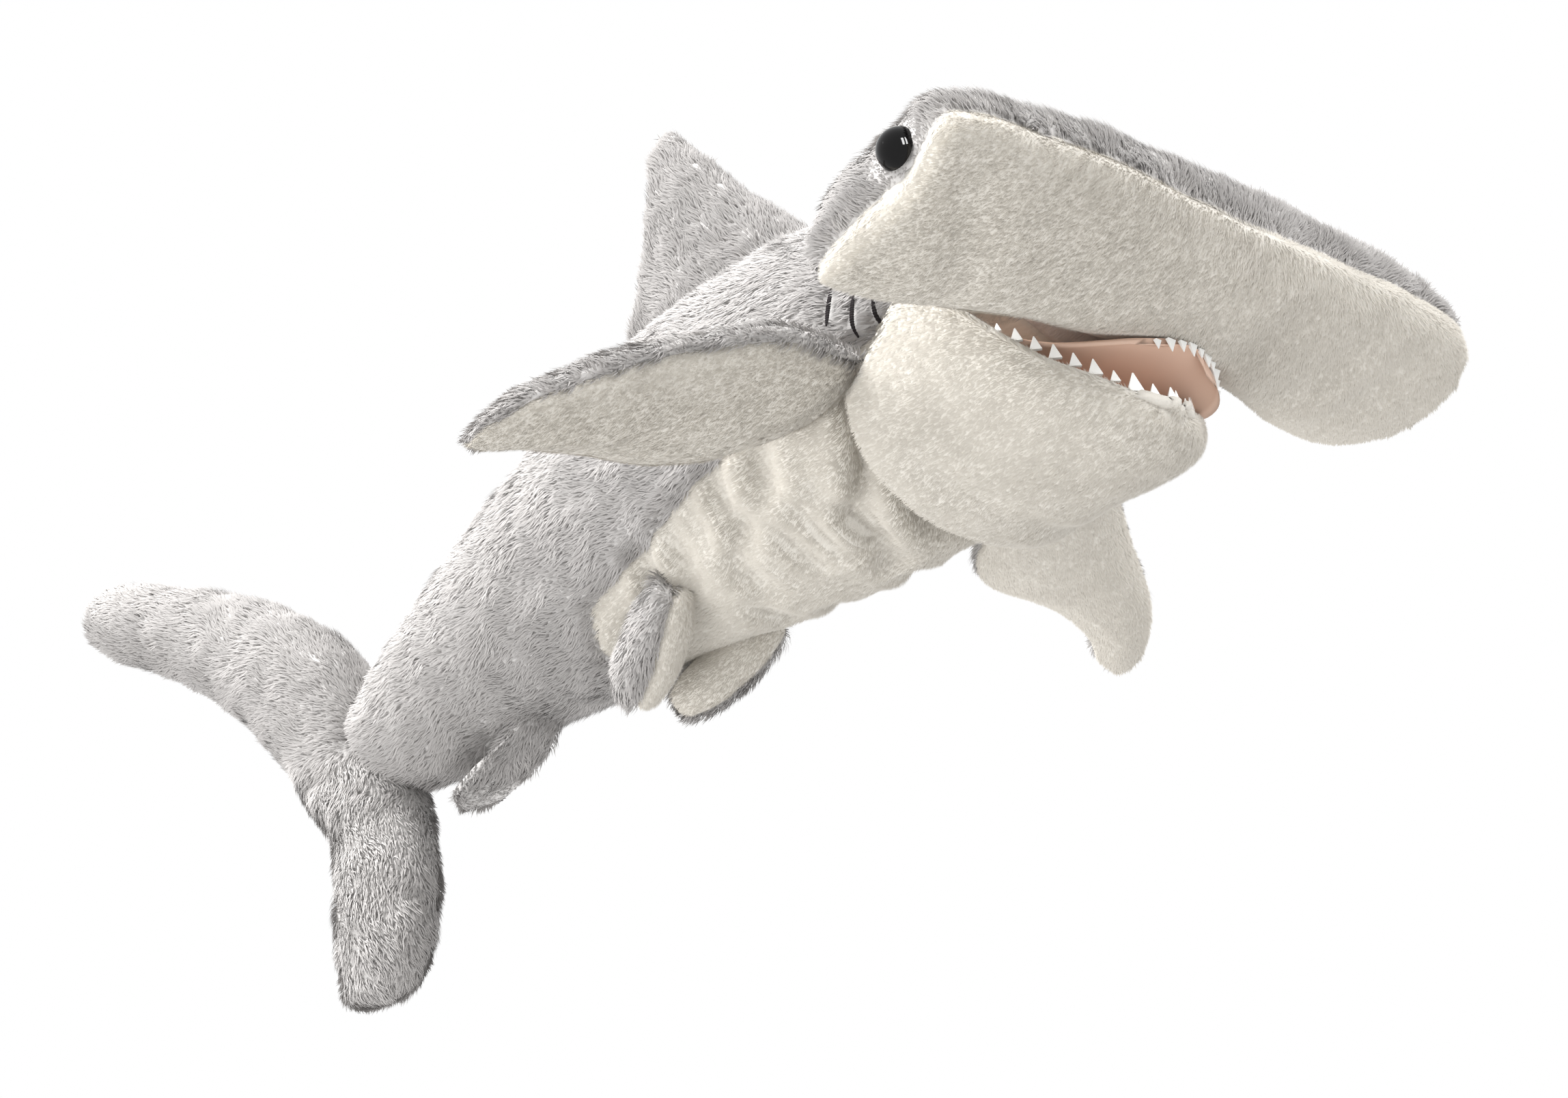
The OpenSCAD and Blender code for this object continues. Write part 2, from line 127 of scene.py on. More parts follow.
def rested(p):
    """Design frame in millimetres to row frame in metres."""
    a = math.radians(REST_PITCH)
    y = p[..., 1] * math.cos(a) - p[..., 2] * math.sin(a) + REST_Y
    z = p[..., 1] * math.sin(a) + p[..., 2] * math.cos(a) + REST_Z
    return np.stack([p[..., 0], y, z], -1) * MM


def designed(p):
    """Row frame in metres back to the design frame in millimetres, head still turned."""
    a = math.radians(REST_PITCH)
    y, z = p[..., 1] / MM - REST_Y, p[..., 2] / MM - REST_Z
    along, height = y * math.cos(a) + z * math.sin(a), -y * math.sin(a) + z * math.cos(a)
    return np.stack([p[..., 0] / MM, along, height], -1)


def rest_dir(v):
    return rested(np.array(v, float)) - rested(np.zeros(3))


def rest_dirs(v):
    """Many directions at once, from the design frame to the row frame."""
    return np.stack([rest_dir(row) for row in np.eye(3)], 0).T.dot(v.T).T


def turned(x, y, degrees):
    a = math.radians(degrees)
    return x * math.cos(a) - y * math.sin(a), x * math.sin(a) + y * math.cos(a)


def lattice(ix, iy, iz, seed):
    """A value from 0 to 1 that is fixed for each point of a whole-number grid."""
    h = (ix * 73856093) ^ (iy * 19349663) ^ (iz * 83492791) ^ (seed * 40503)
    h = ((h ^ (h >> 13)) * 1274126177) & 0x7FFFFFFF
    h = ((h ^ (h >> 11)) * 668265263) & 0x7FFFFFFF
    return ((h >> 7) & 0xFFFF) / 65535.0


def noise(p, size, seed):
    """Smooth noise from 0 to 1 with lumps of the given size."""
    q = p / size
    i = np.floor(q).astype(np.int64)
    f = q - i
    f = f * f * (3.0 - 2.0 * f)
    total = np.zeros(len(p))
    for corner in range(8):
        dx, dy, dz = corner & 1, corner >> 1 & 1, corner >> 2 & 1
        wx, wy, wz = [f[:, axis] if far else 1 - f[:, axis] for axis, far in enumerate((dx, dy, dz))]
        total += wx * wy * wz * lattice(i[:, 0] + dx, i[:, 1] + dy, i[:, 2] + dz, seed)
    return total


def spline(rows, steps):
    """Smooth rows between the given stations, with so many steps from one to the next."""
    rows = np.array(rows, float)
    ends = np.vstack([2 * rows[0] - rows[1], rows, 2 * rows[-1] - rows[-2]])
    out = []
    for k in range(len(rows) - 1):
        a, b, c, d = ends[k], ends[k + 1], ends[k + 2], ends[k + 3]
        for t in np.arange(steps) / steps:
            square, cube = (2 * a - 5 * b + 4 * c - d) * t**2, (3 * b - a - 3 * c + d) * t**3
            out.append(0.5 * (2 * b + (c - a) * t + square + cube))
    out.append(rows[-1])
    return np.array(out)


# ---------- stations, in the design frame ----------

# Along the body, height, lean, share of the shoulder radius
TORSO = [
    (-38, 0, -14, 0.97), (-18, 0.5, -7, 1.00), (0, 0.5, 0, 1.00), (20, 0, 3, 0.98), (40, -1.5, 6, 0.93),
    (56, -4, 9, 0.87), (66, -6, 11, 0.83), (74, -8, 12, 0.80), (95, -12.5, 15, 0.70),
    (118, -19, 18, 0.59), (137, -25, 20, 0.50), (149, -29, 21, 0.42), (160, -32, 22, 0.34),
]
# Along, angle of the seam between grey and cream from the mid back. The belly's panel ends round, and
# behind it all is grey.
SEAM = [
    (-38, 104), (-18, 108), (0, 113), (20, 121), (36, 128), (52, 133), (64, 139), (69, 153), (71.5, 168),
    (73, 190),
]
# Along, height, lean, half width, up, down
HEAD = [
    (-96, 1, 0, 36, 14, 21), (-82, 1, 0, 39, 20, 22), (-71, 1, -5, 41, 27, 22),
    (-58, 1, -10, 42, 35, 22), (-42, 0, -14, 42.5, 42.5, 22), (-30, 0, -12, 42, 42, 24),
]
SEAM_AHEAD = 101.0  # the same angle ahead of the first row
# Share of the half span, reach to the front, reach to the back, size share
HAMMER_RIGHT = [
    (0, 29, 19, 1), (0.34, 29.5, 23, 1), (0.62, 29, 28.5, 1), (0.86, 26.5, 33, 1),
    (0.95, 24, 33.5, 0.97), (1, 21.5, 32.5, 0.9),
]
HAMMER_LEFT = [
    (0, 29, 19, 1), (0.34, 29.5, 20, 1), (0.62, 29, 24, 1), (0.86, 27, 23.5, 1), (0.95, 25, 20.5, 0.97),
    (1, 22.5, 16, 0.9),
]
HAMMER_UP = (20.0, 5.0)
HAMMER_DOWN = (7.5, 2.0)
# How far each end stands out at its front corner, middle and rear corner, as a share of the half span
RIGHT_END = (0.055, 0.0, 0.01)
LEFT_END = (0.02, 0.085, -0.02)
# Along, half width, rim, underside, floor of the mouth
JAW = [
    (-109.5, 4, -43.2, -47.5, -44.2), (-107.5, 9.5, -41.5, -49.6, -43.8), (-103, 17, -37.6, -51, -42),
    (-95, 27.5, -31, -52, -38), (-84, 36, -19.5, -51.8, -33), (-75, 40.5, -10.5, -51.3, -29),
    (-66, 42.8, -5.5, -50.8, -27.5), (-56, 43.4, -11, -50, -27), (-46, 43.6, -17, -49, -27),
    (-38, 43.0, -19, -47.5, -27),
]
# Centre, half chord, half thickness; the right fin of each pair, from root to tip
PECTORAL = [
    (-39, -31, -16, 14, 5), (-48, -28, -17.5, 18, 6.5), (-58, -21.5, -18, 24, 7.8),
    (-70, -15.5, -19, 25.8, 8.8), (-90, -8.5, -22.6, 21.3, 8.4), (-109, -2.5, -27.8, 15.5, 7.4),
    (-121, 3, -32, 11, 6), (-127, 6, -35, 6, 4),
]
PECTORAL_LEFT = [
    (-39, -31, -16, 14, 5), (-48, -28, -17.5, 18, 6.5), (-58, -22, -18, 23.5, 7.8),
    (-70, -16.5, -19, 24, 8.8), (-90, -12.5, -22.6, 17.5, 8.4), (-109, -7.5, -27.8, 12.5, 7.4),
    (-120, -2, -31.6, 10.5, 6.4), (-126.5, 1, -34.6, 7, 4.4),
]
PECTORAL_DIRS = ((0.10, 0.955, -0.28), (0.22, 0.26, 0.94))
PELVIC = [
    (-22.5, 38, -36, 7.4, 6.4), (-21, 42, -39.5, 8.4, 8), (-19.5, 46, -43, 8.8, 8.8),
    (-16.5, 53, -48, 8.6, 9), (-13.5, 59.5, -52, 7.6, 8.2), (-11.5, 63, -54.3, 6, 6.6),
]
PELVIC_LEFT_SHIFT = (5.5, 0, 1.5, 0, -1.2)
PELVIC_DIRS = ((0.506, 0.296, 0.814), (-0.757, 0.605, 0.25))
DORSAL = [
    (0, 19, 40, 37, 10), (0, 22, 49, 35, 9), (0, 23.5, 54, 31, 8.6), (0, 27, 68, 22, 7.8),
    (0, 30.5, 82, 13.5, 6.8), (0, 33, 94, 7.5, 5), (0, 34, 99.5, 3.8, 3.2),
]
DORSAL_DIRS = ((0, -1, 0), (-1, 0, 0))
ANAL = [
    (0, 106, -40, 10, 8.5), (0, 111.5, -46.5, 10.6, 9), (0, 115.5, -49.2, 11, 9.6),
    (0, 122, -52, 10.8, 9.6), (0, 128, -54, 9.2, 8.8),
]
ANAL_DIRS = ((0, 0.97, -0.22), (-1, 0, 0))
# Centre, half chord, half thickness, angle of the chord; from the upper lobe's tip to the lower one's
TAIL = [
    (0, 266, 51, 8, 6, 32), (0, 253, 44, 12, 9.8, 32), (0, 224, 26, 15.5, 11.3, 36),
    (0, 193, 1, 19, 12.8, 45), (0, 176, -26, 19.5, 12.8, 75), (0, 166, -55, 18, 11.8, 97),
    (0, 168, -82, 16.2, 10.8, 93), (0, 171, -96, 13.6, 7.5, 90),
]

# Folds pulled into the body's skin: from, to, depth and width
FOLDS = [
    ((-41, -42, -12), (-28, -31, -33), 3.6, 3.4), ((41, -42, -12), (28, -31, -33), 3.6, 3.4),
    ((-28, -31, -33), (-18, -20, -40), 4.2, 3.2), ((-18, -20, -40), (2, -13, -44), 4.0, 3.0),
    ((-27, -8, -35), (-10, -9, -43), 3.0, 2.2), ((-28, -15, -34), (-8, -17, -43), 3.0, 2.2),
    ((-25, 0, -37), (-12, -1, -42.5), 2.2, 2.2), ((-22, 17, -38), (-9, 17, -43), 2.6, 2.4),
    ((-38, 10, -22), (-30, 11, -32), 3.0, 2.6), ((-33, 27, -27), (-23, 32, -37), 3.0, 2.6),
    ((-31, 4, -32), (-24, 14, -37), 2.4, 2.4), ((-36, 19, -24), (-29, 21, -33), 2.4, 2.2),
    ((-30, 40, -27), (-20, 44, -37), 2.6, 2.4), ((-40, -6, -20), (-33, -3, -30), 3.0, 2.8),
    ((-8, 24, -43), (10, 26, -43), 2.0, 2.4), ((14, -8, -42), (30, -6, -34), 2.4, 2.4),
    ((12, 14, -42), (28, 18, -34), 2.4, 2.4), ((20, 30, -38), (30, 34, -30), 2.2, 2.4),
    ((30, -130, -19), (22, -100, -28), 1.8, 4.0), ((54, -128, -19), (48, -100, -27), 1.6, 4.0),
    ((-80, -126, -18), (-62, -98, -27), 1.4, 5.0), ((74, -126, -18), (66, -102, -26), 1.4, 4.0),
]


# ---------- meshes ----------


def new_object(name, points, faces):
    mesh = bpy.data.meshes.new(name)
    mesh.from_pydata([tuple(p) for p in points], [], faces)
    mesh.validate()
    obj = bpy.data.objects.new(name, mesh)
    bpy.context.scene.collection.objects.link(obj)
    return obj


def pick(obj):
    bpy.ops.object.select_all(action="DESELECT")
    obj.select_set(True)
    bpy.context.view_layer.objects.active = obj


def apply_all(obj):
    """Applies the modifiers, first to last."""
    pick(obj)
    for modifier in list(obj.modifiers):
        bpy.ops.object.modifier_apply(modifier=modifier.name)


def face_outwards(obj):
    """Turns a closed, evenly wound mesh so that its faces point out."""
    mesh = obj.data
    mesh.calc_loop_triangles()
    tri = np.empty(len(mesh.loop_triangles) * 3, np.int32)
    mesh.loop_triangles.foreach_get("vertices", tri)
    a, b, c = coords(obj)[tri.reshape(-1, 3)].transpose(1, 0, 2)
    if (a * np.cross(b, c)).sum() < 0:
        mesh.flip_normals()


def loft(name, rings, bulges=(3.0, 3.0), cap_steps=3):
    """A closed skin through closed rings, with a round cap that bulges at each end."""
    rings = [np.array(r, float) for r in rings]
    first, last = rings[0], rings[-1]
    caps = []
    for ring, other, bulge in ((first, rings[1], bulges[0]), (last, rings[-2], bulges[1])):
        centre = ring.mean(0)
        out = unit(centre - other.mean(0))
        angles = [0.5 * math.pi * k / cap_steps for k in range(1, cap_steps)]
        round_in = [centre + (ring - centre) * math.cos(a) + out * bulge * math.sin(a) for a in angles]
        caps.append((round_in, centre + out * bulge))
    rings = caps[0][0][::-1] + rings + caps[1][0]
    m = len(first)
    points = [p for r in rings for p in r] + [caps[0][1], caps[1][1]]
    faces = []
    for i in range(len(rings) - 1):
        for j in range(m):
            k = (j + 1) % m
            faces.append((i * m + j, i * m + k, (i + 1) * m + k, (i + 1) * m + j))
    south, north, top = len(points) - 2, len(points) - 1, (len(rings) - 1) * m
    for j in range(m):
        k = (j + 1) % m
        faces.append((south, k, j))
        faces.append((north, top + j, top + k))
    obj = new_object(name, points, faces)
    face_outwards(obj)
    return obj


def coords(obj):
    co = np.empty(len(obj.data.vertices) * 3)
    obj.data.vertices.foreach_get("co", co)
    return co.reshape(-1, 3)


def set_coords(obj, co):
    obj.data.vertices.foreach_set("co", np.asarray(co, np.float32).ravel())
    obj.data.update()


def vertex_normals(obj):
    n = np.empty(len(obj.data.vertices) * 3, np.float32)
    obj.data.vertex_normals.foreach_get("vector", n)
    return n.reshape(-1, 3).astype(float)


def face_centres(obj):
    c = np.empty(len(obj.data.polygons) * 3)
    obj.data.polygons.foreach_get("center", c)
    return c.reshape(-1, 3)


FILL_FRAMES = 20
FILL_PRESSURE = 4.0


def inflate(obj, most):
    """Fills the sewn skin: cloth under pressure from inside, whose points move by no more than the
    given millimetres. The mesh is in millimetres."""
    before = coords(obj)
    set_coords(obj, before * MM)
    pick(obj)
    cloth = obj.modifiers.new("fill", "CLOTH")
    cloth.settings.quality = 4
    cloth.settings.mass = 0.15
    cloth.settings.use_pressure = True
    cloth.settings.uniform_pressure_force = FILL_PRESSURE
    cloth.settings.effector_weights.gravity = 0.0
    cloth.settings.tension_stiffness = 12.0
    cloth.settings.compression_stiffness = 12.0
    cloth.settings.bending_stiffness = 0.3
    scene = bpy.context.scene
    for frame in range(1, FILL_FRAMES + 1):
        scene.frame_set(frame)
    moved = coords(obj.evaluated_get(bpy.context.evaluated_depsgraph_get())) / MM
    obj.modifiers.remove(cloth)
    scene.frame_set(1)
    if not np.isfinite(moved).all():
        moved = before
    step = moved - before
    length = np.linalg.norm(step, axis=1, keepdims=True)
    set_coords(obj, before + step * np.minimum(1.0, most / np.maximum(length, 1e-9)))


def tuck(obj, depth):
    """Moves the skin in, to leave room for the pile within the toy's outline."""
    set_coords(obj, coords(obj) - vertex_normals(obj) * depth)


def subdivide(obj, levels=1):
    modifier = obj.modifiers.new("finer", "SUBSURF")
    modifier.levels = levels
    modifier.render_levels = levels
    apply_all(obj)


def smooth(obj, factor, times):
    modifier = obj.modifiers.new("ease", "SMOOTH")
    modifier.factor = factor
    modifier.iterations = times
    apply_all(obj)


FOLD_FLAT = 1.2  # half width of a fold's flat bottom
FOLD_LIP, FOLD_LIP_PLACE = 0.3, 2.2  # height share and place of the raised lip beside a fold
FOLD_RISE, FOLD_DEPTH = 1.2, 4.5  # the most that folds raise and press the skin


def pull_folds(obj, folds):
    """Presses the skin in along straight folds, deepest in their middle."""
    co, n = coords(obj), vertex_normals(obj)
    total = np.zeros(len(co))
    for start, end, depth, width in folds:
        a, b = np.array(start, float), np.array(end, float)
        t = np.clip(((co - a) @ (b - a)) / ((b - a) @ (b - a)), 0, 1)
        near = np.linalg.norm(co - (a + t[:, None] * (b - a)), axis=1)
        near = np.maximum(near - FOLD_FLAT, 0) / width
        press = np.exp(-(near**2)) - FOLD_LIP * np.exp(-((near - FOLD_LIP_PLACE) ** 2))
        total += depth * press * (0.55 + 0.45 * np.sin(math.pi * t))
    set_coords(obj, co - n * np.clip(total, -FOLD_RISE, FOLD_DEPTH)[:, None])


def ripple(obj, size, height, seed):
    """Soft lumps of the stuffing under the fabric."""
    co = coords(obj)
    lumps = noise(co, size, seed) + 0.5 * noise(co, size * 0.45, seed + 1) - 0.75
    set_coords(obj, co + vertex_normals(obj) * (height * lumps)[:, None])


def part_of(obj, name, keep):
    """A copy of the faces where keep is true."""
    copy = bpy.data.objects.new(name, obj.data.copy())
    bpy.context.scene.collection.objects.link(copy)
    b = bmesh.new()
    b.from_mesh(copy.data)
    b.faces.ensure_lookup_table()
    bmesh.ops.delete(b, geom=[b.faces[i] for i in np.nonzero(~keep)[0]], context="FACES")
    b.to_mesh(copy.data)
    b.free()
    return copy


def give_wall(obj, thickness=1.2):
    """Thickens an open panel inwards, so that it is closed, and shades it smooth."""
    modifier = obj.modifiers.new("wall", "SOLIDIFY")
    modifier.thickness = thickness * MM
    modifier.offset = -1.0
    apply_all(obj)
    shade_smooth(obj)


def shade_smooth(obj):
    obj.data.polygons.foreach_set("use_smooth", np.ones(len(obj.data.polygons), bool))
    obj.data.update()


# ---------- materials ----------


def srgb(r, g, b):
    """Linear colour from an 8-bit one."""
    return [(c / 255 / 12.92) if c <= 10 else ((c / 255 + 0.055) / 1.055) ** 2.4 for c in (r, g, b)] + [1.0]


def pile_group():
    """Colour and normal of short pile: streaked clumps over darker roots."""
    group = bpy.data.node_groups.get("pile")
    if group:
        return group
    group = bpy.data.node_groups.new("pile", "ShaderNodeTree")
    face = group.interface
    face.new_socket("Vector", in_out="INPUT", socket_type="NodeSocketVector")
    face.new_socket("Root", in_out="INPUT", socket_type="NodeSocketColor")
    face.new_socket("Tip", in_out="INPUT", socket_type="NodeSocketColor")
    face.new_socket("Clumps", in_out="INPUT", socket_type="NodeSocketFloat")
    face.new_socket("Color", in_out="OUTPUT", socket_type="NodeSocketColor")
    face.new_socket("Normal", in_out="OUTPUT", socket_type="NodeSocketVector")
    nodes, link = group.nodes, group.links.new
    given, result = nodes.new("NodeGroupInput"), nodes.new("NodeGroupOutput")
    clumps, fibres = nodes.new("ShaderNodeTexNoise"), nodes.new("ShaderNodeTexNoise")
    blend, stretch = nodes.new("ShaderNodeMix"), nodes.new("ShaderNodeMapping")
    weight, bump = nodes.new("ShaderNodeMath"), nodes.new("ShaderNodeBump")
    stretch.inputs["Scale"].default_value = (1.0, 0.35, 0.7)
    clumps.inputs["Detail"].default_value = 3.0
    fibres.inputs["Scale"].default_value = 1400.0
    blend.data_type = "RGBA"
    weight.operation = "MULTIPLY_ADD"
    weight.inputs[1].default_value = 1.5
    weight.inputs[2].default_value = -0.3
    weight.use_clamp = True
    bump.inputs["Strength"].default_value = 0.5
    bump.inputs["Distance"].default_value = 0.0006
    link(given.outputs["Vector"], stretch.inputs["Vector"])
    link(stretch.outputs["Vector"], clumps.inputs["Vector"])
    link(stretch.outputs["Vector"], fibres.inputs["Vector"])
    link(given.outputs["Clumps"], clumps.inputs["Scale"])
    link(clumps.outputs["Fac"], weight.inputs[0])
    link(weight.outputs["Value"], blend.inputs["Factor"])
    link(given.outputs["Root"], blend.inputs["A"])
    link(given.outputs["Tip"], blend.inputs["B"])
    link(fibres.outputs["Fac"], bump.inputs["Height"])
    link(blend.outputs["Result"], result.inputs["Color"])
    link(bump.outputs["Normal"], result.inputs["Normal"])
    return group


def patterned(name, root, tip, clumps, roughness, sheen=0.0, bump=True):
    """A material whose colour and relief come from the pile group, on Object coordinates."""
    material = bpy.data.materials.get(name)
    if material:
        return material
    material = bpy.data.materials.new(name)
    material.use_nodes = True
    nodes, link = material.node_tree.nodes, material.node_tree.links.new
    shader = nodes["Principled BSDF"]
    place, group = nodes.new("ShaderNodeTexCoord"), nodes.new("ShaderNodeGroup")
    group.node_tree = pile_group()
    group.inputs["Root"].default_value = root
    group.inputs["Tip"].default_value = tip
    group.inputs["Clumps"].default_value = clumps
    link(place.outputs["Object"], group.inputs["Vector"])
    link(group.outputs["Color"], shader.inputs["Base Color"])
    if bump:
        link(group.outputs["Normal"], shader.inputs["Normal"])
    shader.inputs["Roughness"].default_value = roughness
    shader.inputs["Sheen Weight"].default_value = sheen
    shader.inputs["Specular IOR Level"].default_value = 0.2
    return material


def tone(name, colour):
    """A plain tone of one part of the pile's hairs."""
    material = bpy.data.materials.get(name)
    if material:
        return material
    material = bpy.data.materials.new(name)
    material.use_nodes = True
    shader = material.node_tree.nodes["Principled BSDF"]
    shader.inputs["Base Color"].default_value = colour
    shader.inputs["Roughness"].default_value = 0.75
    shader.inputs["Specular IOR Level"].default_value = 0.05
    shader.inputs["Sheen Weight"].default_value = 0.15
    return material


# Tones of the hairs. The light grey tips are the pile's own silvery colour. The darker grey root tones go on
# the lower part of each jointed hair and are painted shade where the hairs crowd at the skin. The cream's
# root tones go on whole hairs at random.
GREY_TONES_AND_ROOT_SHADE = {
    "root": [(174, 171, 169), (194, 192, 190), (211, 209, 208)],
    "tip": [(233, 231, 230), (246, 245, 243), (254, 253, 252)],
}
CREAM_TONES = {
    "root": [(208, 203, 194), (212, 207, 198), (216, 211, 203)],
    "tip": [(219, 214, 206), (223, 218, 211), (228, 224, 217)],
}


def grey_skin():
    return patterned("grey_backing", srgb(176, 173, 171), srgb(220, 218, 216), 260.0, 0.95, 0.2)


def cream_skin():
    return patterned("cream_backing", srgb(202, 197, 188), srgb(218, 214, 206), 320.0, 0.95, 0.2)


def felt(name, dark, light):
    return patterned(name, dark, light, 500.0, 0.95, 0.3)


def set_material(obj, *materials):
    obj.data.materials.clear()
    for material in materials:
        obj.data.materials.append(material)


# ---------- pile ----------


def sample_skin(obj, density, seed):
    """Evenly spread points on a skin, with their normals, in metres."""
    mesh = obj.data
    mesh.calc_loop_triangles()
    tri = np.empty(len(mesh.loop_triangles) * 3, np.int32)
    mesh.loop_triangles.foreach_get("vertices", tri)
    tri = tri.reshape(-1, 3)
    co, normals = coords(obj), vertex_normals(obj)
    a, b, c = co[tri[:, 0]], co[tri[:, 1]], co[tri[:, 2]]
    area = 0.5 * np.linalg.norm(np.cross(b - a, c - a), axis=1)
    rng = np.random.default_rng(seed)
    count = int(area.sum() / MM**2 * density)
    t = np.searchsorted(np.cumsum(area) / area.sum(), rng.random(count))
    u, v = rng.random(count), rng.random(count)
    flip = u + v > 1
    u[flip], v[flip] = 1 - u[flip], 1 - v[flip]
    w = np.stack([1 - u - v, u, v], -1)[:, :, None]
    return (co[tri[t]] * w).sum(1), unit((normals[tri[t]] * w).sum(1)), rng


def leaning(along, normal, angle, length):
    """A step of the given length, turned up from the nap by the angle."""
    return (along * np.cos(angle)[:, None] + normal * np.sin(angle)[:, None]) * length[:, None]


ROOT_DEPTH = 0.3  # how far a hair starts under the skin
BEND_AT = 0.45  # share of a hair's length where it bends over, and of its rise that is left past it


def hair_mesh(name, root, normal, nap, rng, style, shade):
    """Flat tapered hairs that lie along the nap: a quad from the root and a triangle to the tip."""
    count = len(root)
    where = designed(root)
    wander = (noise(where, style["clump"], 11) - 0.5) * 2 + (noise(where, style["clump"] * 0.4, 12) - 0.5)
    tall = 0.5 + style["uneven"] * (noise(where + 40.0, style["clump"], 13) - 0.5)
    along = unit(nap - normal * (nap * normal).sum(1, keepdims=True))
    side = np.cross(along, normal)
    calm = 0.3 + 0.7 * style["uneven"]
    yaw = wander * style["wander"] + rng.normal(0, 0.2 * calm, count)
    along = along * np.cos(yaw)[:, None] + side * np.sin(yaw)[:, None]
    side = np.cross(along, normal)
    length = style["length"] * MM * (0.72 + 0.5 * tall + rng.normal(0, 0.1, count)) * style["share"]
    width = style["width"] * MM * (0.8 + 0.4 * rng.random(count))
    rise = np.radians(style["rise"] + 22 * (tall - 0.5) + rng.normal(0, 7 * calm, count))
    low = root - normal * ROOT_DEPTH * MM
    middle = root + leaning(along, normal, rise, BEND_AT * length)
    tip = middle + leaning(along, normal, rise * BEND_AT, (1 - BEND_AT) * length)
    half = side * (width / 2)[:, None]
    level = np.clip((shade + rng.normal(0, 0.16 * calm, count)) * 3, 0, 2.99).astype(np.int32)
    if style["jointed"]:
        points = np.stack([low - half, low + half, middle - half * 0.9, middle + half * 0.9, tip], 1)
        # The quad from the root takes a darker root tone, painted shade low in the pile. The triangle to the
        # tip takes a lighter tip tone, the pile's own colour.
        corners, sizes, levels = [0, 1, 3, 2, 2, 3, 4], [4, 3], np.stack([level, level + 3], 1)
    else:
        points = np.stack([low - half, low + half, tip], 1)
        corners, sizes, levels = [0, 1, 2], [3], (level + 3 * (rng.random(count) < 0.7))[:, None]
    mesh = bpy.data.meshes.new(name)
    mesh.vertices.add(points.shape[0] * points.shape[1])
    mesh.vertices.foreach_set("co", points.astype(np.float32).ravel())
    mesh.loops.add(count * len(corners))
    index = np.arange(count)[:, None] * points.shape[1] + corners
    mesh.loops.foreach_set("vertex_index", index.astype(np.int32).ravel())
    mesh.polygons.add(count * len(sizes))
    starts = np.arange(count)[:, None] * len(corners) + np.cumsum([0, *sizes[:-1]])
    mesh.polygons.foreach_set("loop_start", starts.astype(np.int32).ravel())
    mesh.polygons.foreach_set("loop_total", np.tile(sizes, count).astype(np.int32))
    mesh.update(calc_edges=True)
    mesh.polygons.foreach_set("material_index", levels.astype(np.int32).ravel())
    mesh.polygons.foreach_set("use_smooth", np.ones(len(mesh.polygons), bool))
    obj = bpy.data.objects.new(name, mesh)
    bpy.context.scene.collection.objects.link(obj)
    colour = style["colour"]
    tones = GREY_TONES_AND_ROOT_SHADE if colour == "grey" else CREAM_TONES
    named = [(f"{colour}_{part}_{k}", c) for part in ("root", "tip") for k, c in enumerate(tones[part])]
    set_material(obj, *[tone(label, srgb(*c)) for label, c in named])
    return obj


# Hairs to the square millimetre, their width and clumps in millimetres, and their rise in degrees. The
# length and the share that is grown come from the settings.
GREY_STYLE = {
    "colour": "grey", "density": 2.9, "width": 0.40, "rise": 38, "clump": 6.0, "wander": 0.8,
    "jointed": True, "mottle": 1.2, "uneven": 1.0,
}
CREAM_STYLE = {
    "colour": "cream", "density": 6.2, "width": 0.32, "rise": 28, "clump": 9.0, "wander": 0.14,
    "jointed": False, "mottle": 0.25, "uneven": 0.35,
}
MOST_TRIANGLES = 190000


def grow(name, skin, colour, nap, where, seed, attach, length_at=None):
    """Grows pile of one colour on a skin where the mask says, and attaches each piece of it."""
    style = dict(GREY_STYLE if colour == "grey" else CREAM_STYLE)
    root, normal, rng = sample_skin(skin, style["density"] * style["share_grown"], seed)
    flat = designed(root)
    keep = np.ones(len(root), bool) if where is None else where(flat)
    root, normal, flat = root[keep], normal[keep], flat[keep]
    order = np.argsort(flat[:, 1] if np.ptp(flat[:, 1]) > 80 else flat[:, 0])
    root, normal, flat = root[order], normal[order], flat[order]
    shade = 0.5 + style["mottle"] * (0.5 * (noise(flat, 7.0, 21) - 0.5) + 0.75 * (noise(flat, 2.2, 22) - 0.5))
    share = np.ones(len(root)) if length_at is None else length_at(flat)
    pieces = max(1, math.ceil(len(root) * (3 if style["jointed"] else 1) / MOST_TRIANGLES))
    for k, part in enumerate(np.array_split(np.arange(len(root)), pieces)):
        style["share"] = share[part]
        label = name if pieces == 1 else f"{name}_{k + 1}"
        obj = hair_mesh(label, root[part], normal[part], nap(flat[part]), rng, style, shade[part])
        attach(obj)


def steady(direction):
    """The same nap everywhere."""
    v = rest_dir(direction)
    return lambda p: np.tile(v, (len(p), 1))


# ---------- body and head ----------


RING_POINTS = 48


def ring_angles(points=RING_POINTS):
    return np.radians(np.arange(points) * 360 / points)


def torso_rings():
    angles = ring_angles()
    rings = []
    for y, z, lean, share in spline(TORSO, 4):
        r = share * SHOULDER_R
        ring = np.stack([-r * np.sin(angles), np.full(RING_POINTS, y), np.full(RING_POINTS, z)], -1)
        rings.append(ring + (r * np.cos(angles))[:, None] * up_dir(lean))
    return rings


def head_rings():
    angles = ring_angles()
    rings = []
    for y, z, lean, half, up, down in spline(HEAD, 3):
        h = np.where(np.cos(angles) > 0, up, down)
        ring = np.stack([-half * np.sin(angles), np.full(RING_POINTS, y), np.full(RING_POINTS, z)], -1)
        rings.append(ring + (h * np.cos(angles))[:, None] * up_dir(lean))
    return rings


def swell(v, power):
    return np.sign(v) * np.abs(v) ** power


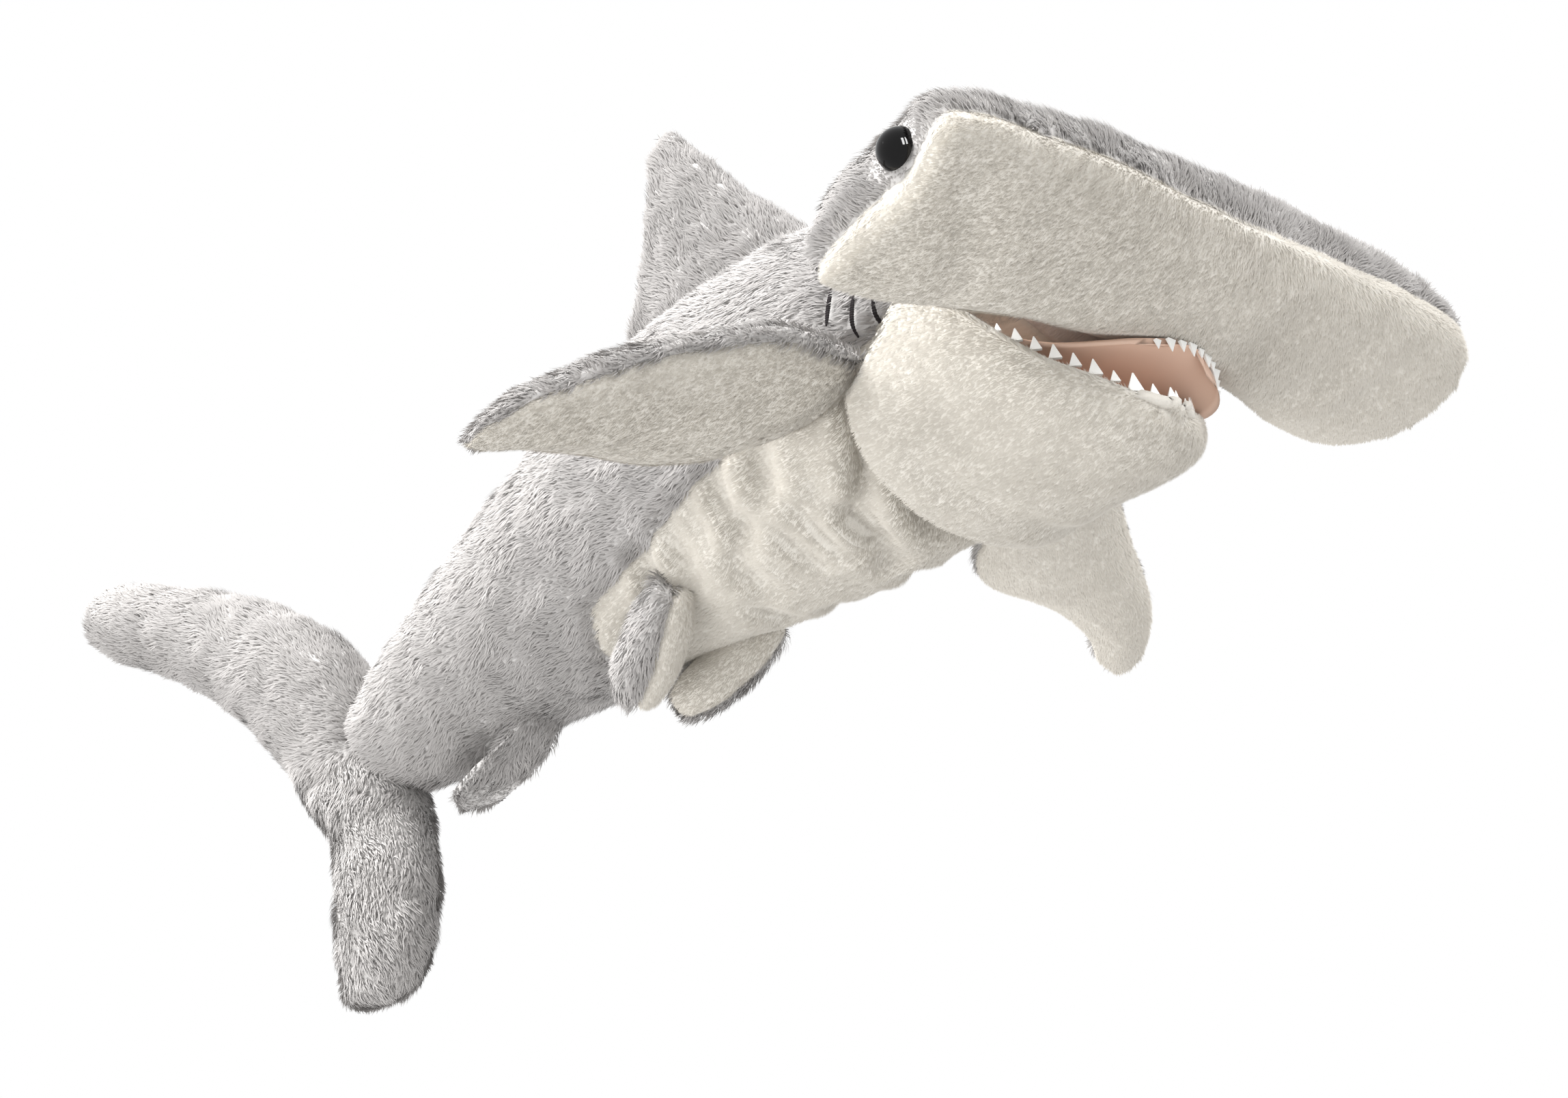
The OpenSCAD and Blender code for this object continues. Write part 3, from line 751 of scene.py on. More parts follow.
def hammer_rings():
    right = spline(HAMMER_RIGHT, 3)[:0:-1] * np.array([-1, 1, 1, 1])
    left = spline(HAMMER_LEFT, 3)
    angles = ring_angles()
    lift = math.radians(HAMMER_PITCH)
    fore = np.array([0, -math.cos(lift), math.sin(lift)])
    rings = []
    for share, front, back, size in np.vstack([right, left]):
        up = HAMMER_UP[0] + HAMMER_UP[1] * (1 - share**2)
        down = HAMMER_DOWN[0] + HAMMER_DOWN[1] * (1 - share**2)
        b = np.where(np.sin(angles) > 0, up, down) * size
        c = np.cos(angles)
        along = (front - back) / 2 + (front + back) / 2 * swell(c, 0.75)
        ring = np.tile([share * HAMMER_HALF, *HAMMER_PLACE], (RING_POINTS, 1)) + along[:, None] * fore
        fore_out, middle_out, rear_out = LEFT_END if share > 0 else RIGHT_END
        middle_out *= np.where(np.sin(angles) > 0, 0.35, 1.0)
        ring[:, 0] *= 1 + share**8 * (np.where(c > 0, fore_out, rear_out) * c**2 + middle_out * (1 - c**2))
        rings.append(ring + (b * swell(np.sin(angles), 0.8))[:, None] * up_dir(HAMMER_PITCH))
    return rings


def grey_side(p):
    """Millimetres from the seam between grey and cream, positive on the grey side; head not turned."""
    x, y, z = p[:, 0], p[:, 1], p[:, 2]
    rows, edge = np.array(TORSO), np.array(SEAM)
    seam = np.interp(y, edge[:, 0], edge[:, 1], left=SEAM_AHEAD)
    middle = np.interp(y, rows[:, 0], rows[:, 1])
    radius = np.interp(y, rows[:, 0], rows[:, 3]) * SHOULDER_R
    angle = np.degrees(np.arctan2(np.abs(x), z - middle))
    trunk = np.radians(seam - angle) * radius
    lift = math.radians(HAMMER_PITCH)
    up = (y - HAMMER_PLACE[0]) * math.sin(lift) + (z - HAMMER_PLACE[1]) * math.cos(lift)
    on_hammer = (y < -84) | ((np.abs(x) > 44) & (y < -55))
    wave = 1.2 * (noise(p, 14.0, 31) - 0.5)
    return np.where(on_hammer, up - 0.8 - 2.6 * (x / HAMMER_HALF) ** 2, trunk) + wave


def unposed(p):
    """Takes the head's turn and roll back out, by a few fixed-point steps."""
    q = p.copy()
    for _ in range(6):
        q = q + (p - posed(q))
    return q


def eye_gap(p):
    """Distance from the nearer eye's centre."""
    eyes = [np.array([side * EYE_PLACE[0], *EYE_PLACE[1:]]) for side in (-1, 1)]
    return np.minimum(*[np.linalg.norm(p - eye, axis=1) for eye in eyes])


# Along and height of each gill line's middle, front line last; they step in towards the head
GILLS = [(-37.2, 4.4), (-44.6, -1.2), (-51.6, -5.0), (-58.4, -7.8)]
GILL_OUT = 43.4
GILL_BACK, GILL_HALF = 1.2, 3.2  # half reach of the pile's gap along the body, and its half height


def gill_places():
    lines = [(GILL_OUT - 0.19 * k * k - 1.2 * k, *middle) for k, middle in enumerate(GILLS)]
    return [np.array([side * x, y, z]) for side in (-1, 1) for x, y, z in lines]


def gill_gap(p):
    gap = np.full(len(p), 99.0)
    for g in gill_places():
        d = np.abs(p - g)
        behind = np.maximum(np.abs(p[:, 1] - g[1] + GILL_BACK) - GILL_BACK, 0)
        beyond = np.maximum(d[:, 2] - GILL_HALF, 0)
        gap = np.minimum(gap, np.hypot(behind, beyond) + np.maximum(d[:, 0] - 8, 0))
    return gap


def body_nap(p):
    """Back along the body; outwards and back on the hammer."""
    q = unposed(p)
    w = ease((-78 - q[:, 1]) / 16)[:, None]
    trunk = np.tile([0, 1, -0.15], (len(p), 1))
    lift = np.where(grey_side(q) > 0, 0.55, -0.25)
    out = np.stack([q[:, 0] / HAMMER_HALF, np.full(len(p), 0.7), lift], -1)
    return rest_dirs(trunk * (1 - w) + out * w)


VOXEL = 3.6
BODY_TUCK = 1.3  # room for the pile within the toy's outline
SEAM_DRAW, SEAM_SPREAD = 1.4, 2.4  # how deep and how wide a seam is pulled in
EYE_DENT, EYE_DENT_SPREAD = 1.1, 8.5
GILL_BARE = 1.1  # width of bare skin round a gill line
MOUTH_ROOF = (3, -79, 31, -15)  # centre across and along, radius and highest point of the bare roof


def in_mouth(q):
    x, y, radius, top = MOUTH_ROOF
    return (((q[:, 0] - x) / radius) ** 2 + ((q[:, 1] - y) / radius) ** 2 < 1) & (q[:, 2] < top)


def bare(q):
    """Where no pile grows on the head: the eyes, the gill lines and the roof of the mouth."""
    return (eye_gap(q) <= EYE_R - 0.4) | (gill_gap(q) <= GILL_BARE) | in_mouth(q)


def grey_here(p):
    q = unposed(p)
    return (grey_side(q) > 0) & ~bare(q)


def cream_here(p):
    q = unposed(p)
    return (grey_side(q) <= 0) & ~bare(q)


def shorter_at_eyes(p):
    return np.clip((eye_gap(unposed(p)) - 5.0) / 7.0, 0.2, 1.0)


def ride_torso(obj):
    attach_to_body(obj, "torso")


def build_body():
    body = join("body", [
        loft("body", torso_rings(), (6, 5)), loft("head", head_rings(), (2, 2)),
        loft("hammer", hammer_rings(), (0.6, 0.6)),
    ])
    set_coords(body, coords(body) * MM)
    body.data.remesh_voxel_size = VOXEL * MM
    bpy.ops.object.voxel_remesh()
    set_coords(body, coords(body) / MM)
    smooth(body, 0.5, 4)
    inflate(body, 1.4)
    subdivide(body)
    smooth(body, 0.5, 2)
    co = coords(body)
    side = grey_side(co)
    draw = BODY_TUCK + SEAM_DRAW * np.exp(-((side / SEAM_SPREAD) ** 2))
    set_coords(body, co - vertex_normals(body) * draw[:, None])
    pull_folds(body, FOLDS)
    co = coords(body)
    dent = EYE_DENT * np.exp(-((eye_gap(co) / EYE_DENT_SPREAD) ** 2))
    set_coords(body, co - vertex_normals(body) * dent[:, None])
    ripple(body, 22.0, 1.3, 5)
    grey = grey_side(face_centres(body)) > 0
    set_coords(body, rested(posed(coords(body))))
    shade_smooth(body)
    grow("pile_grey_body", body, "grey", body_nap, grey_here, 101, ride_torso, shorter_at_eyes)
    grow("pile_cream_body", body, "cream", body_nap, cream_here, 102, ride_torso, shorter_at_eyes)
    back, belly = part_of(body, "body_back", grey), part_of(body, "body_belly", ~grey)
    bpy.data.objects.remove(body)
    for piece, material, slot in ((back, grey_skin(), "grey_pile"), (belly, cream_skin(), "cream_pile")):
        give_wall(piece)
        set_material(piece, material)
        ride_torso(piece)
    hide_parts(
        "back_panel_right", "back_panel_left", "body_stuffing", "head_stuffing", "crown_panel",
        "hammer_stuffing", "hammer_top_panel", "hammer_end_right", "hammer_end_left",
    )
    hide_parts("belly_panel", "cheek_panel_right", "cheek_panel_left", "hammer_under_panel")


# ---------- mouth ----------


LINING_MIDDLE, LINING_HALF = -85, 21  # where along the mouth's floor the felt lies
JAW_FOLDS = [((-30, -52, -44), (-6, -58, -51), 1.3, 3.0), ((28, -50, -44), (4, -56, -51), 1.3, 3.0)]


def build_jaw():
    outer_n, floor_n = 36, 18
    rings = []
    for y, half, rim, under, floor in spline(JAW, 4):
        a = np.radians(np.linspace(0, 180, outer_n + 1))
        down = rim - (rim - under) * swell(np.sin(a), 0.85)
        outer = np.stack([-half * swell(np.cos(a), 0.9), np.full(len(a), y), down], -1)
        t = np.linspace(1, -1, floor_n + 2)[1:-1]
        inner = np.stack([t * (half - 1.2), np.full(len(t), y), floor + (rim - floor) * np.abs(t) ** 5], -1)
        rings.append(np.vstack([outer, inner]))
    jaw = loft("jaw_cover", rings, (2.5, 3.0), 3)
    tagged = np.zeros(len(jaw.data.vertices), bool)
    ring_size = outer_n + 1 + floor_n
    whole = (len(tagged) - 2) // ring_size * ring_size
    tagged[:whole] = np.abs(np.arange(whole) % ring_size - outer_n - (floor_n + 1) / 2) < floor_n / 2 - 1.5
    lining = np.array([all(tagged[v] for v in f.vertices) for f in jaw.data.polygons])
    lining &= np.abs(face_centres(jaw)[:, 1] - LINING_MIDDLE) < LINING_HALF
    inflate(jaw, 1.2)
    tuck(jaw, 0.8)
    pull_folds(jaw, JAW_FOLDS)
    ripple(jaw, 18.0, 1.2, 9)
    set_coords(jaw, rested(posed(coords(jaw))))
    shade_smooth(jaw)

    def attach(obj):
        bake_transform(obj)

    cover, floor = part_of(jaw, "jaw_panel_soft", ~lining), part_of(jaw, "jaw_lining_soft", lining)
    bpy.data.objects.remove(jaw)
    grow("pile_cream_jaw", cover, "cream", steady((0, 1, -0.1)), None, 111, attach)
    for piece, material, slot in ((cover, cream_skin(), "cream_pile"), (floor, mouth_felt(), "mouth_felt")):
        give_wall(piece, 1.0)
        set_material(piece, material)
        attach(piece)
    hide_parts("jaw_panel", "jaw_stuffing")
    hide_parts("jaw_lining")


def mouth_felt():
    return felt("mouth_felt", srgb(184, 136, 104), srgb(212, 164, 128))


def build_palate():
    """The felt roof of the mouth, a shallow vault with its front edge under the upper lip."""
    rows = [
        (-110.5, 7, 7.5, -26.8, -1), (-108, 6, 15.5, -27.6, -1), (-103, 4.5, 22.5, -28.6, -0.5),
        (-95, 2.5, 28.5, -29.4, 2), (-84, 0, 35.5, -29.6, 8), (-74, 0, 37.5, -29.8, 12),
        (-62, 0, 36.5, -31.0, 14),
    ]
    rings = []
    for y, centre, half, z, side in spline(rows, 4):
        t = np.linspace(-1, 1, 19)
        edge = z + np.where(t > 0, side - 3.5, side) * np.abs(t) ** 3
        low = np.stack([centre + t * half, y + 3.0 * t**2, edge], -1)
        high = low[::-1][1:-1] + [0, 0, 1.6]
        rings.append(np.vstack([low, high]))
    palate = loft("palate_soft", rings, (0.5, 0.5), 2)
    set_coords(palate, rested(posed(coords(palate))))
    shade_smooth(palate)
    set_material(palate, mouth_felt())
    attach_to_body(palate, "torso")
    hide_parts("palate_lining")


TOOTH_FOOT, TOOTH_THICK = 0.62, 0.75  # half width as a share of the size, and half thickness
LOWER_EACH_SIDE, LOWER_REACH = 10, 0.84  # lower teeth on each side, and the share of the rim they fill


def tooth(place, yaw, size, down):
    """A flat felt triangle that stands on the lip."""
    foot = TOOTH_FOOT * size
    bpy.ops.mesh.primitive_cone_add(
        vertices=4, radius1=foot * MM, radius2=0.05 * size * MM, depth=size * 1.3 * MM
    )
    obj = bpy.context.object
    obj.name = "tooth"
    co = coords(obj)
    x, y = turned(co[:, 0], co[:, 1], 45)
    co = np.stack([x * 1.25, y * TOOTH_THICK / foot, co[:, 2] + size * 0.3 * MM], -1) / MM
    if down:
        co[:, 2] *= -1
    co = np.stack([*turned(co[:, 0], co[:, 1], yaw), co[:, 2]], -1)
    set_coords(obj, rested(posed(co + np.array(place))))
    face_outwards(obj)
    bevel = obj.modifiers.new("soft", "BEVEL")
    bevel.width = 0.12 * MM
    bevel.segments = 2
    apply_all(obj)
    obj.location = (0, 0, 0)
    return obj


def join(name, objects):
    bpy.ops.object.select_all(action="DESELECT")
    for obj in objects:
        obj.select_set(True)
    bpy.context.view_layer.objects.active = objects[0]
    bpy.ops.object.join()
    joined = bpy.context.view_layer.objects.active
    joined.name = name
    return joined


def build_teeth():
    rng = np.random.default_rng(7)
    rows = np.array([
        (0, -110, -43.4), (9, -107.4, -41.6), (17, -102.4, -37.4), (26.5, -95, -31), (33, -88, -24.4),
        (36.4, -82, -18.8), (38.6, -78, -14.8),
    ], float)
    rim = spline(rows, 8)
    reach = np.concatenate([[0], np.cumsum(np.linalg.norm(np.diff(rim, axis=0), axis=1))])
    lower = []
    for side in (-1, 1):
        for k in range(LOWER_EACH_SIDE):
            t = (k + 0.5) / LOWER_EACH_SIDE * LOWER_REACH * reach[-1]
            place = np.array([np.interp(t, reach, rim[:, i]) for i in range(3)])
            ahead = np.array([np.interp(t + 1, reach, rim[:, i]) for i in range(3)]) - place
            yaw = math.degrees(math.atan2(ahead[1], ahead[0]))
            size = (3.6 if k % 2 == 0 else 2.6) * (1 - 0.3 * (k > 7)) * rng.uniform(0.85, 1.15)
            foot = (side * (place[0] - 1.5), place[1] + 1.5, place[2] + 0.5)
            lower.append(tooth(foot, side * yaw, size, False))
    lower = join("lower_teeth_soft", lower)
    upper = []
    for k in range(-3, 8):
        size = (3.0 if k % 2 == 0 else 2.2) * (1 - 0.03 * abs(k)) * rng.uniform(0.85, 1.1)
        foot = (k * 3.3 + 7, -110.4 + 0.28 * k * k, -27.0 - 0.05 * k * k)
        upper.append(tooth(foot, 0, size, True))
    upper = join("upper_teeth_soft", upper)
    white = felt("tooth_felt", srgb(226, 224, 218), srgb(246, 245, 242))
    for obj in (lower, upper):
        set_material(obj, white)
        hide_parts(obj.name.replace("_soft", ""))
    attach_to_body(upper, "torso")
    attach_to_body(lower, "jaw")


# ---------- fins ----------


def fin_rings(rows, dirs, steps, points):
    chord, face = [np.array(d, float) for d in dirs]
    angles = ring_angles(points)
    rings = []
    for x, y, z, half, thick in spline(rows, steps):
        ring = (half * np.cos(angles))[:, None] * chord + (thick * swell(np.sin(angles), 0.9))[:, None] * face
        rings.append(np.array([x, y, z]) + ring)
    return rings


def ring_split(obj, points, low, high):
    """True for faces whose angle round the fin lies between low and high degrees."""
    found = []
    ring_total = len(obj.data.vertices) - 2
    for f in obj.data.polygons:
        js = [v % points for v in f.vertices if v < ring_total]
        if max(js) - min(js) > points / 2:
            js = [j if j > points / 2 else j + points for j in js]
        angle = (sum(js) / len(js)) * 360 / points
        found.append((angle - low) % 360 < (high - low))
    return np.array(found)


FIN_BULGES = (2.0, 2.5)
FIN_TUCK = 1.1
FIN_SEAM_DRAW, FIN_SEAM_SPREAD = 0.9, 9  # depth in millimetres and spread in degrees


def build_fin(name, rings, mirror, naps, grey_range, nodes, fill_cap, seed):
    """One stuffed fin: filled, split at the seam into a grey and a cream half, and given its pile."""
    points = len(rings[0])
    if mirror:
        rings = [ring * np.array([-1, 1, 1]) for ring in rings]
    fin = loft(name, rings, FIN_BULGES, 3)
    inflate(fin, fill_cap)
    tuck(fin, FIN_TUCK)
    grey = ring_split(fin, points, *grey_range) if grey_range else np.ones(len(fin.data.polygons), bool)
    co, n = coords(fin), vertex_normals(fin)
    index = np.arange(len(co)) % points * 360 / points
    for edge in grey_range or (0, 180):
        off = (index - edge + 180) % 360 - 180
        co = co - n * (FIN_SEAM_DRAW * np.exp(-((off / FIN_SEAM_SPREAD) ** 2)))[:, None]
    set_coords(fin, co)
    ripple(fin, 16.0, 1.0, seed)
    set_coords(fin, rested(coords(fin)))
    shade_smooth(fin)
    flip = np.array([-1 if mirror else 1, 1, 1])

    def attach(obj):
        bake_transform(obj)

    nap = steady(np.array(naps, float) * flip)
    halves = [("grey", grey, grey_skin())] + ([("cream", ~grey, cream_skin())] if grey_range else [])
    for colour, keep, material in halves:
        piece = part_of(fin, f"{name}_{colour}", keep)
        grow(f"pile_{colour}_{name}", piece, colour, nap, None, seed + 1, attach)
        if grey_range:
            give_wall(piece, 1.0)
        else:
            shade_smooth(piece)
        set_material(piece, material)
        attach(piece)
        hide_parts(*nodes[colour])
    bpy.data.objects.remove(fin)


def build_pectorals():
    for side, mirror, rows, grey_range in (
        ("right", False, PECTORAL, (0, 206)), ("left", True, PECTORAL_LEFT, (10, 176)),
    ):
        build_fin(
            f"pectoral_{side}", fin_rings(rows, PECTORAL_DIRS, 5, 44), mirror,
            (-0.8, 0.6, -0.2), grey_range,
            {
                "grey": (f"pectoral_top_{side}", f"pectoral_stuffing_{side}"),
                "cream": (f"pectoral_under_{side}",),
            },
            1.2, 41,
        )


def build_pelvics():
    left = np.array(PELVIC) + np.array(PELVIC_LEFT_SHIFT)
    for side, mirror, rows, grey_range in (
        ("right", False, PELVIC, (0, 180)), ("left", True, left, (0, 190)),
    ):
        build_fin(
            f"pelvic_{side}", fin_rings(rows, PELVIC_DIRS, 4, 28), mirror,
            (0.35, 0.8, -0.5), grey_range,
            {
                "grey": (f"pelvic_outer_{side}", f"pelvic_stuffing_{side}"),
                "cream": (f"pelvic_inner_{side}",),
            },
            0.8, 51,
        )


def build_dorsal():
    build_fin(
        "dorsal", fin_rings(DORSAL, DORSAL_DIRS, 5, 48), False,
        (0, 0.5, 1), None,
        {"grey": ("dorsal_cover_right", "dorsal_cover_left", "dorsal_stuffing")}, 1.2, 61,
    )


def build_anal():
    build_fin(
        "anal", fin_rings(ANAL, ANAL_DIRS, 4, 28), False,
        (0, 0.6, -0.6), None,
        {"grey": ("anal_cover_right", "anal_cover_left", "anal_stuffing")}, 0.8, 71,
    )


TAIL_FOLDS = [
    ((-14, 176, -34), (-13, 196, -44), 2.2, 2.6), ((14, 176, -34), (13, 196, -44), 2.2, 2.6),
    ((-14, 160, -38), (-13, 186, -38), 1.4, 2.4),
]


def tail_rings():
    angles = ring_angles(44)
    rings = []
    for x, y, z, half, thick, turn in spline(TAIL, 6):
        chord = np.array([0, math.sin(math.radians(turn)), -math.cos(math.radians(turn))])
        across = (thick * swell(np.sin(angles), 0.9))[:, None] * np.array([-1, 0, 0])
        ring = (half * np.cos(angles))[:, None] * chord + across
        rings.append(np.array([x, y, z]) + ring)
    return rings


def build_tail():
    tail = loft("tail", tail_rings(), (3, 4), 3)
    inflate(tail, 1.4)
    tuck(tail, 1.3)
    pull_folds(tail, TAIL_FOLDS)
    ripple(tail, 18.0, 1.3, 81)
    set_coords(tail, rested(coords(tail)))
    shade_smooth(tail)

    def attach(obj):
        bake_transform(obj)

    def nap(p):
        w = ease((p[:, 2] + 45) / 30)[:, None]
        return rest_dirs(np.array([0, -0.1, -1.0]) * (1 - w) + np.array([0, 0.85, 0.52]) * w)

    grow("pile_grey_tail", tail, "grey", nap, None, 82, attach)
    set_material(tail, grey_skin())
    attach(tail)
    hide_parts("tail_cover_right", "tail_cover_left", "tail_stuffing")


# ---------- small parts ----------


def on_skin(place, side):
    """The point of the body's skin straight in from a place beside it, a little raised. Row frame."""
    inward = Vector(rested(posed(place)) - rested(posed(place + np.array([side * 10.0, 0, 0])))).normalized()
    start = Vector(rested(posed(place + np.array([side * 20.0, 0, 0]))))
    hits = []
    for name in ("body_back", "body_belly"):
        found, spot, _, _ = bpy.data.objects[name].ray_cast(start, inward)
        if found:
            hits.append(((spot - start).length, spot))
    spot = min(hits)[1] if hits else Vector(rested(posed(place)))
    return np.array(spot - inward * 1.5 * MM)


def build_stitches():
    """Satin-stitched gill lines: close turns of thread over a short bar."""
    bars = []
    for place in gill_places():
        side = math.copysign(1, place[0])
        steps = 64
        rings = []
        for k in range(steps + 1):
            t = k / steps * 2 - 1
            r = 0.55 * math.sqrt(max(0.05, 1 - 0.75 * t * t)) * (1 + 0.14 * math.cos(k * math.pi / 2))
            a = np.radians(np.arange(12) * 30)
            centre = on_skin(place + np.array([0, t * 1.3, -t * 4.6]), side)
            rings.append(centre + np.stack([r * 1.1 * np.cos(a), r * np.sin(a), 0 * a], -1) * MM)
        bar = loft("gill_line", rings, (0.3 * MM, 0.3 * MM), 2)
        shade_smooth(bar)
        bars.append(bar)
    thread = patterned("gill_thread", srgb(26, 23, 24), srgb(52, 46, 48), 900.0, 0.7, 0.0)
    for side, chosen in (("right", bars[:4]), ("left", bars[4:])):
        obj = join(f"gill_lines_{side}", chosen)
        set_material(obj, thread)
        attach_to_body(obj, "torso")
        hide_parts(f"gill_stitches_{side}")


def finish_eyes(nodes):
    bead = patterned("bead", srgb(4, 4, 4), srgb(10, 9, 10), 90.0, 0.06, 0.0, bump=False)
    shader = bead.node_tree.nodes["Principled BSDF"]
    shader.inputs["Specular IOR Level"].default_value = 0.2
    shader.inputs["Coat Weight"].default_value = 0.05
    shader.inputs["Coat Roughness"].default_value = 0.03
    plastic = patterned("washer_plastic", srgb(216, 214, 208), srgb(232, 230, 226), 60.0, 0.45)
    for side in ("right", "left"):
        for node, material, slot in ((f"eye_{side}", bead, "eye"), (f"eye_washer_{side}", plastic, "washer")):
            obj = nodes[node]
            set_material(obj, material)
            pick(obj)
            bpy.ops.object.shade_smooth_by_angle(angle=math.radians(50))


# ---------- stage ----------

VIEW_AZIMUTH = -58.16
VIEW_ELEVATION = -29.64
VIEW_ROLL = 18.4
VIEW_AIM = (0.001, -0.0351, 0.0444)
VIEW_DISTANCE = 1.0759
VIEW_LENS = 97.2


# Name, place, size and power; the strips only show as highlights, and the others never do
LAMPS = [
    ("key", (-0.9, 0.1, 1.5), (1.1, 1.1), 70), ("rim", (0.6, 0.9, 1.4), (1.2, 1.2), 12),
    ("fill", (-0.85, 0.6, -0.45), (0.8, 0.8), 8), ("front", (-0.15, -1.1, 0.6), (0.6, 0.6), 9),
    ("strip_near", (-0.66, -0.99, 0.13), (0.17, 0.6), 14),
    ("strip_mid", (-0.42, -1.13, 0.15), (0.13, 0.6), 11),
    ("strip_far", (-0.2, -1.17, 0.17), (0.1, 0.6), 9),
]


def build_stage():
    scene = bpy.context.scene
    bpy.ops.mesh.primitive_plane_add(size=6.0)
    floor = bpy.context.object
    floor.name = "floor"
    material = bpy.data.materials.new("floor")
    material.use_nodes = True
    nodes, link = material.node_tree.nodes, material.node_tree.links.new
    shader, out = nodes["Principled BSDF"], nodes["Material Output"]
    shader.inputs["Base Color"].default_value = (0.86, 0.86, 0.86, 1)
    shader.inputs["Roughness"].default_value = 0.9
    clear, choose = nodes.new("ShaderNodeBsdfTransparent"), nodes.new("ShaderNodeMixShader")
    seen = nodes.new("ShaderNodeNewGeometry")
    link(seen.outputs["Backfacing"], choose.inputs["Fac"])
    link(shader.outputs["BSDF"], choose.inputs[1])
    link(clear.outputs["BSDF"], choose.inputs[2])
    link(choose.outputs["Shader"], out.inputs["Surface"])
    set_material(floor, material)
    floor.visible_diffuse = floor.visible_glossy = floor.visible_shadow = False
    world = bpy.data.worlds.new("studio")
    world.use_nodes = True
    world.node_tree.nodes["Background"].inputs["Color"].default_value = (1, 1, 1, 1)
    world.node_tree.nodes["Background"].inputs["Strength"].default_value = 1.0
    scene.world = world
    scene.view_settings.view_transform = "Standard"
    for name, place, size, power in LAMPS:
        bpy.ops.object.light_add(type="AREA", location=place)
        lamp = bpy.context.object
        lamp.name = name
        lamp.data.shape = "RECTANGLE"
        lamp.data.size, lamp.data.size_y = size
        lamp.data.energy = power
        lamp.visible_glossy = name.startswith("strip")
        lamp.visible_diffuse = not lamp.visible_glossy
        lamp.rotation_mode = "QUATERNION"
        lamp.rotation_quaternion = (Vector(VIEW_AIM) - Vector(place)).to_track_quat("-Z", "Y")
    bpy.ops.object.camera_add()
    camera = bpy.context.object
    camera.name = "camera"
    a, e = math.radians(VIEW_AZIMUTH), math.radians(VIEW_ELEVATION)
    back = Vector((math.sin(a) * math.cos(e), -math.cos(a) * math.cos(e), math.sin(e)))
    camera.location = Vector(VIEW_AIM) + back * VIEW_DISTANCE
    camera.rotation_mode = "QUATERNION"
    roll = Quaternion((0, 0, 1), math.radians(-VIEW_ROLL))
    camera.rotation_quaternion = (-back).to_track_quat("-Z", "Y") @ roll
    camera.data.lens = VIEW_LENS
    camera.data.clip_start = 0.01
    scene.camera = camera


# ---------- add-on ----------


class SharkSettings(bpy.types.PropertyGroup):
    """Settings of the plush shark."""

    grey_length: bpy.props.FloatProperty(
        name="Grey pile", description="Length of the grey pile's hairs", default=3.6 * MM,
        unit="LENGTH", subtype="DISTANCE",
    )
    cream_length: bpy.props.FloatProperty(
        name="Cream pile", description="Length of the cream pile's hairs", default=1.9 * MM,
        unit="LENGTH", subtype="DISTANCE",
    )
    density: bpy.props.FloatProperty(
        name="Pile density", description="Share of the full number of hairs", default=1.0, subtype="FACTOR"
    )


def use_settings(context):
    """Hands the user's lengths and density to the pile."""
    settings = context.scene.plush_shark
    GREY_STYLE["length"] = settings.grey_length / MM
    CREAM_STYLE["length"] = settings.cream_length / MM
    GREY_STYLE["share_grown"] = CREAM_STYLE["share_grown"] = settings.density


FRAME = {}


class SHARK_OT_body(bpy.types.Operator):
    """Makes the body, head and hammer with their pile"""

    bl_idname = "shark.body"
    bl_label = "Body and head"

    def execute(self, context):
        use_settings(context)
        build_body()
        return {"FINISHED"}


class SHARK_OT_jaw(bpy.types.Operator):
    """Makes the stuffed lower jaw and its felt lining"""

    bl_idname = "shark.jaw"
    bl_label = "Lower jaw"

    def execute(self, context):
        use_settings(context)
        build_jaw()
        return {"FINISHED"}


class SHARK_OT_palate(bpy.types.Operator):
    """Makes the felt roof of the mouth"""

    bl_idname = "shark.palate"
    bl_label = "Palate"

    def execute(self, context):
        build_palate()
        return {"FINISHED"}


class SHARK_OT_teeth(bpy.types.Operator):
    """Makes both rows of felt teeth"""

    bl_idname = "shark.teeth"
    bl_label = "Teeth"

    def execute(self, context):
        build_teeth()
        return {"FINISHED"}


class SHARK_OT_pectorals(bpy.types.Operator):
    """Makes the pair of pectoral fins"""

    bl_idname = "shark.pectorals"
    bl_label = "Pectoral fins"

    def execute(self, context):
        use_settings(context)
        build_pectorals()
        return {"FINISHED"}


class SHARK_OT_pelvics(bpy.types.Operator):
    """Makes the pair of pelvic fins"""

    bl_idname = "shark.pelvics"
    bl_label = "Pelvic fins"

    def execute(self, context):
        use_settings(context)
        build_pelvics()
        return {"FINISHED"}


class SHARK_OT_dorsal(bpy.types.Operator):
    """Makes the dorsal fin"""

    bl_idname = "shark.dorsal"
    bl_label = "Dorsal fin"

    def execute(self, context):
        use_settings(context)
        build_dorsal()
        return {"FINISHED"}


class SHARK_OT_anal(bpy.types.Operator):
    """Makes the small anal fin"""

    bl_idname = "shark.anal"
    bl_label = "Anal fin"

    def execute(self, context):
        use_settings(context)
        build_anal()
        return {"FINISHED"}


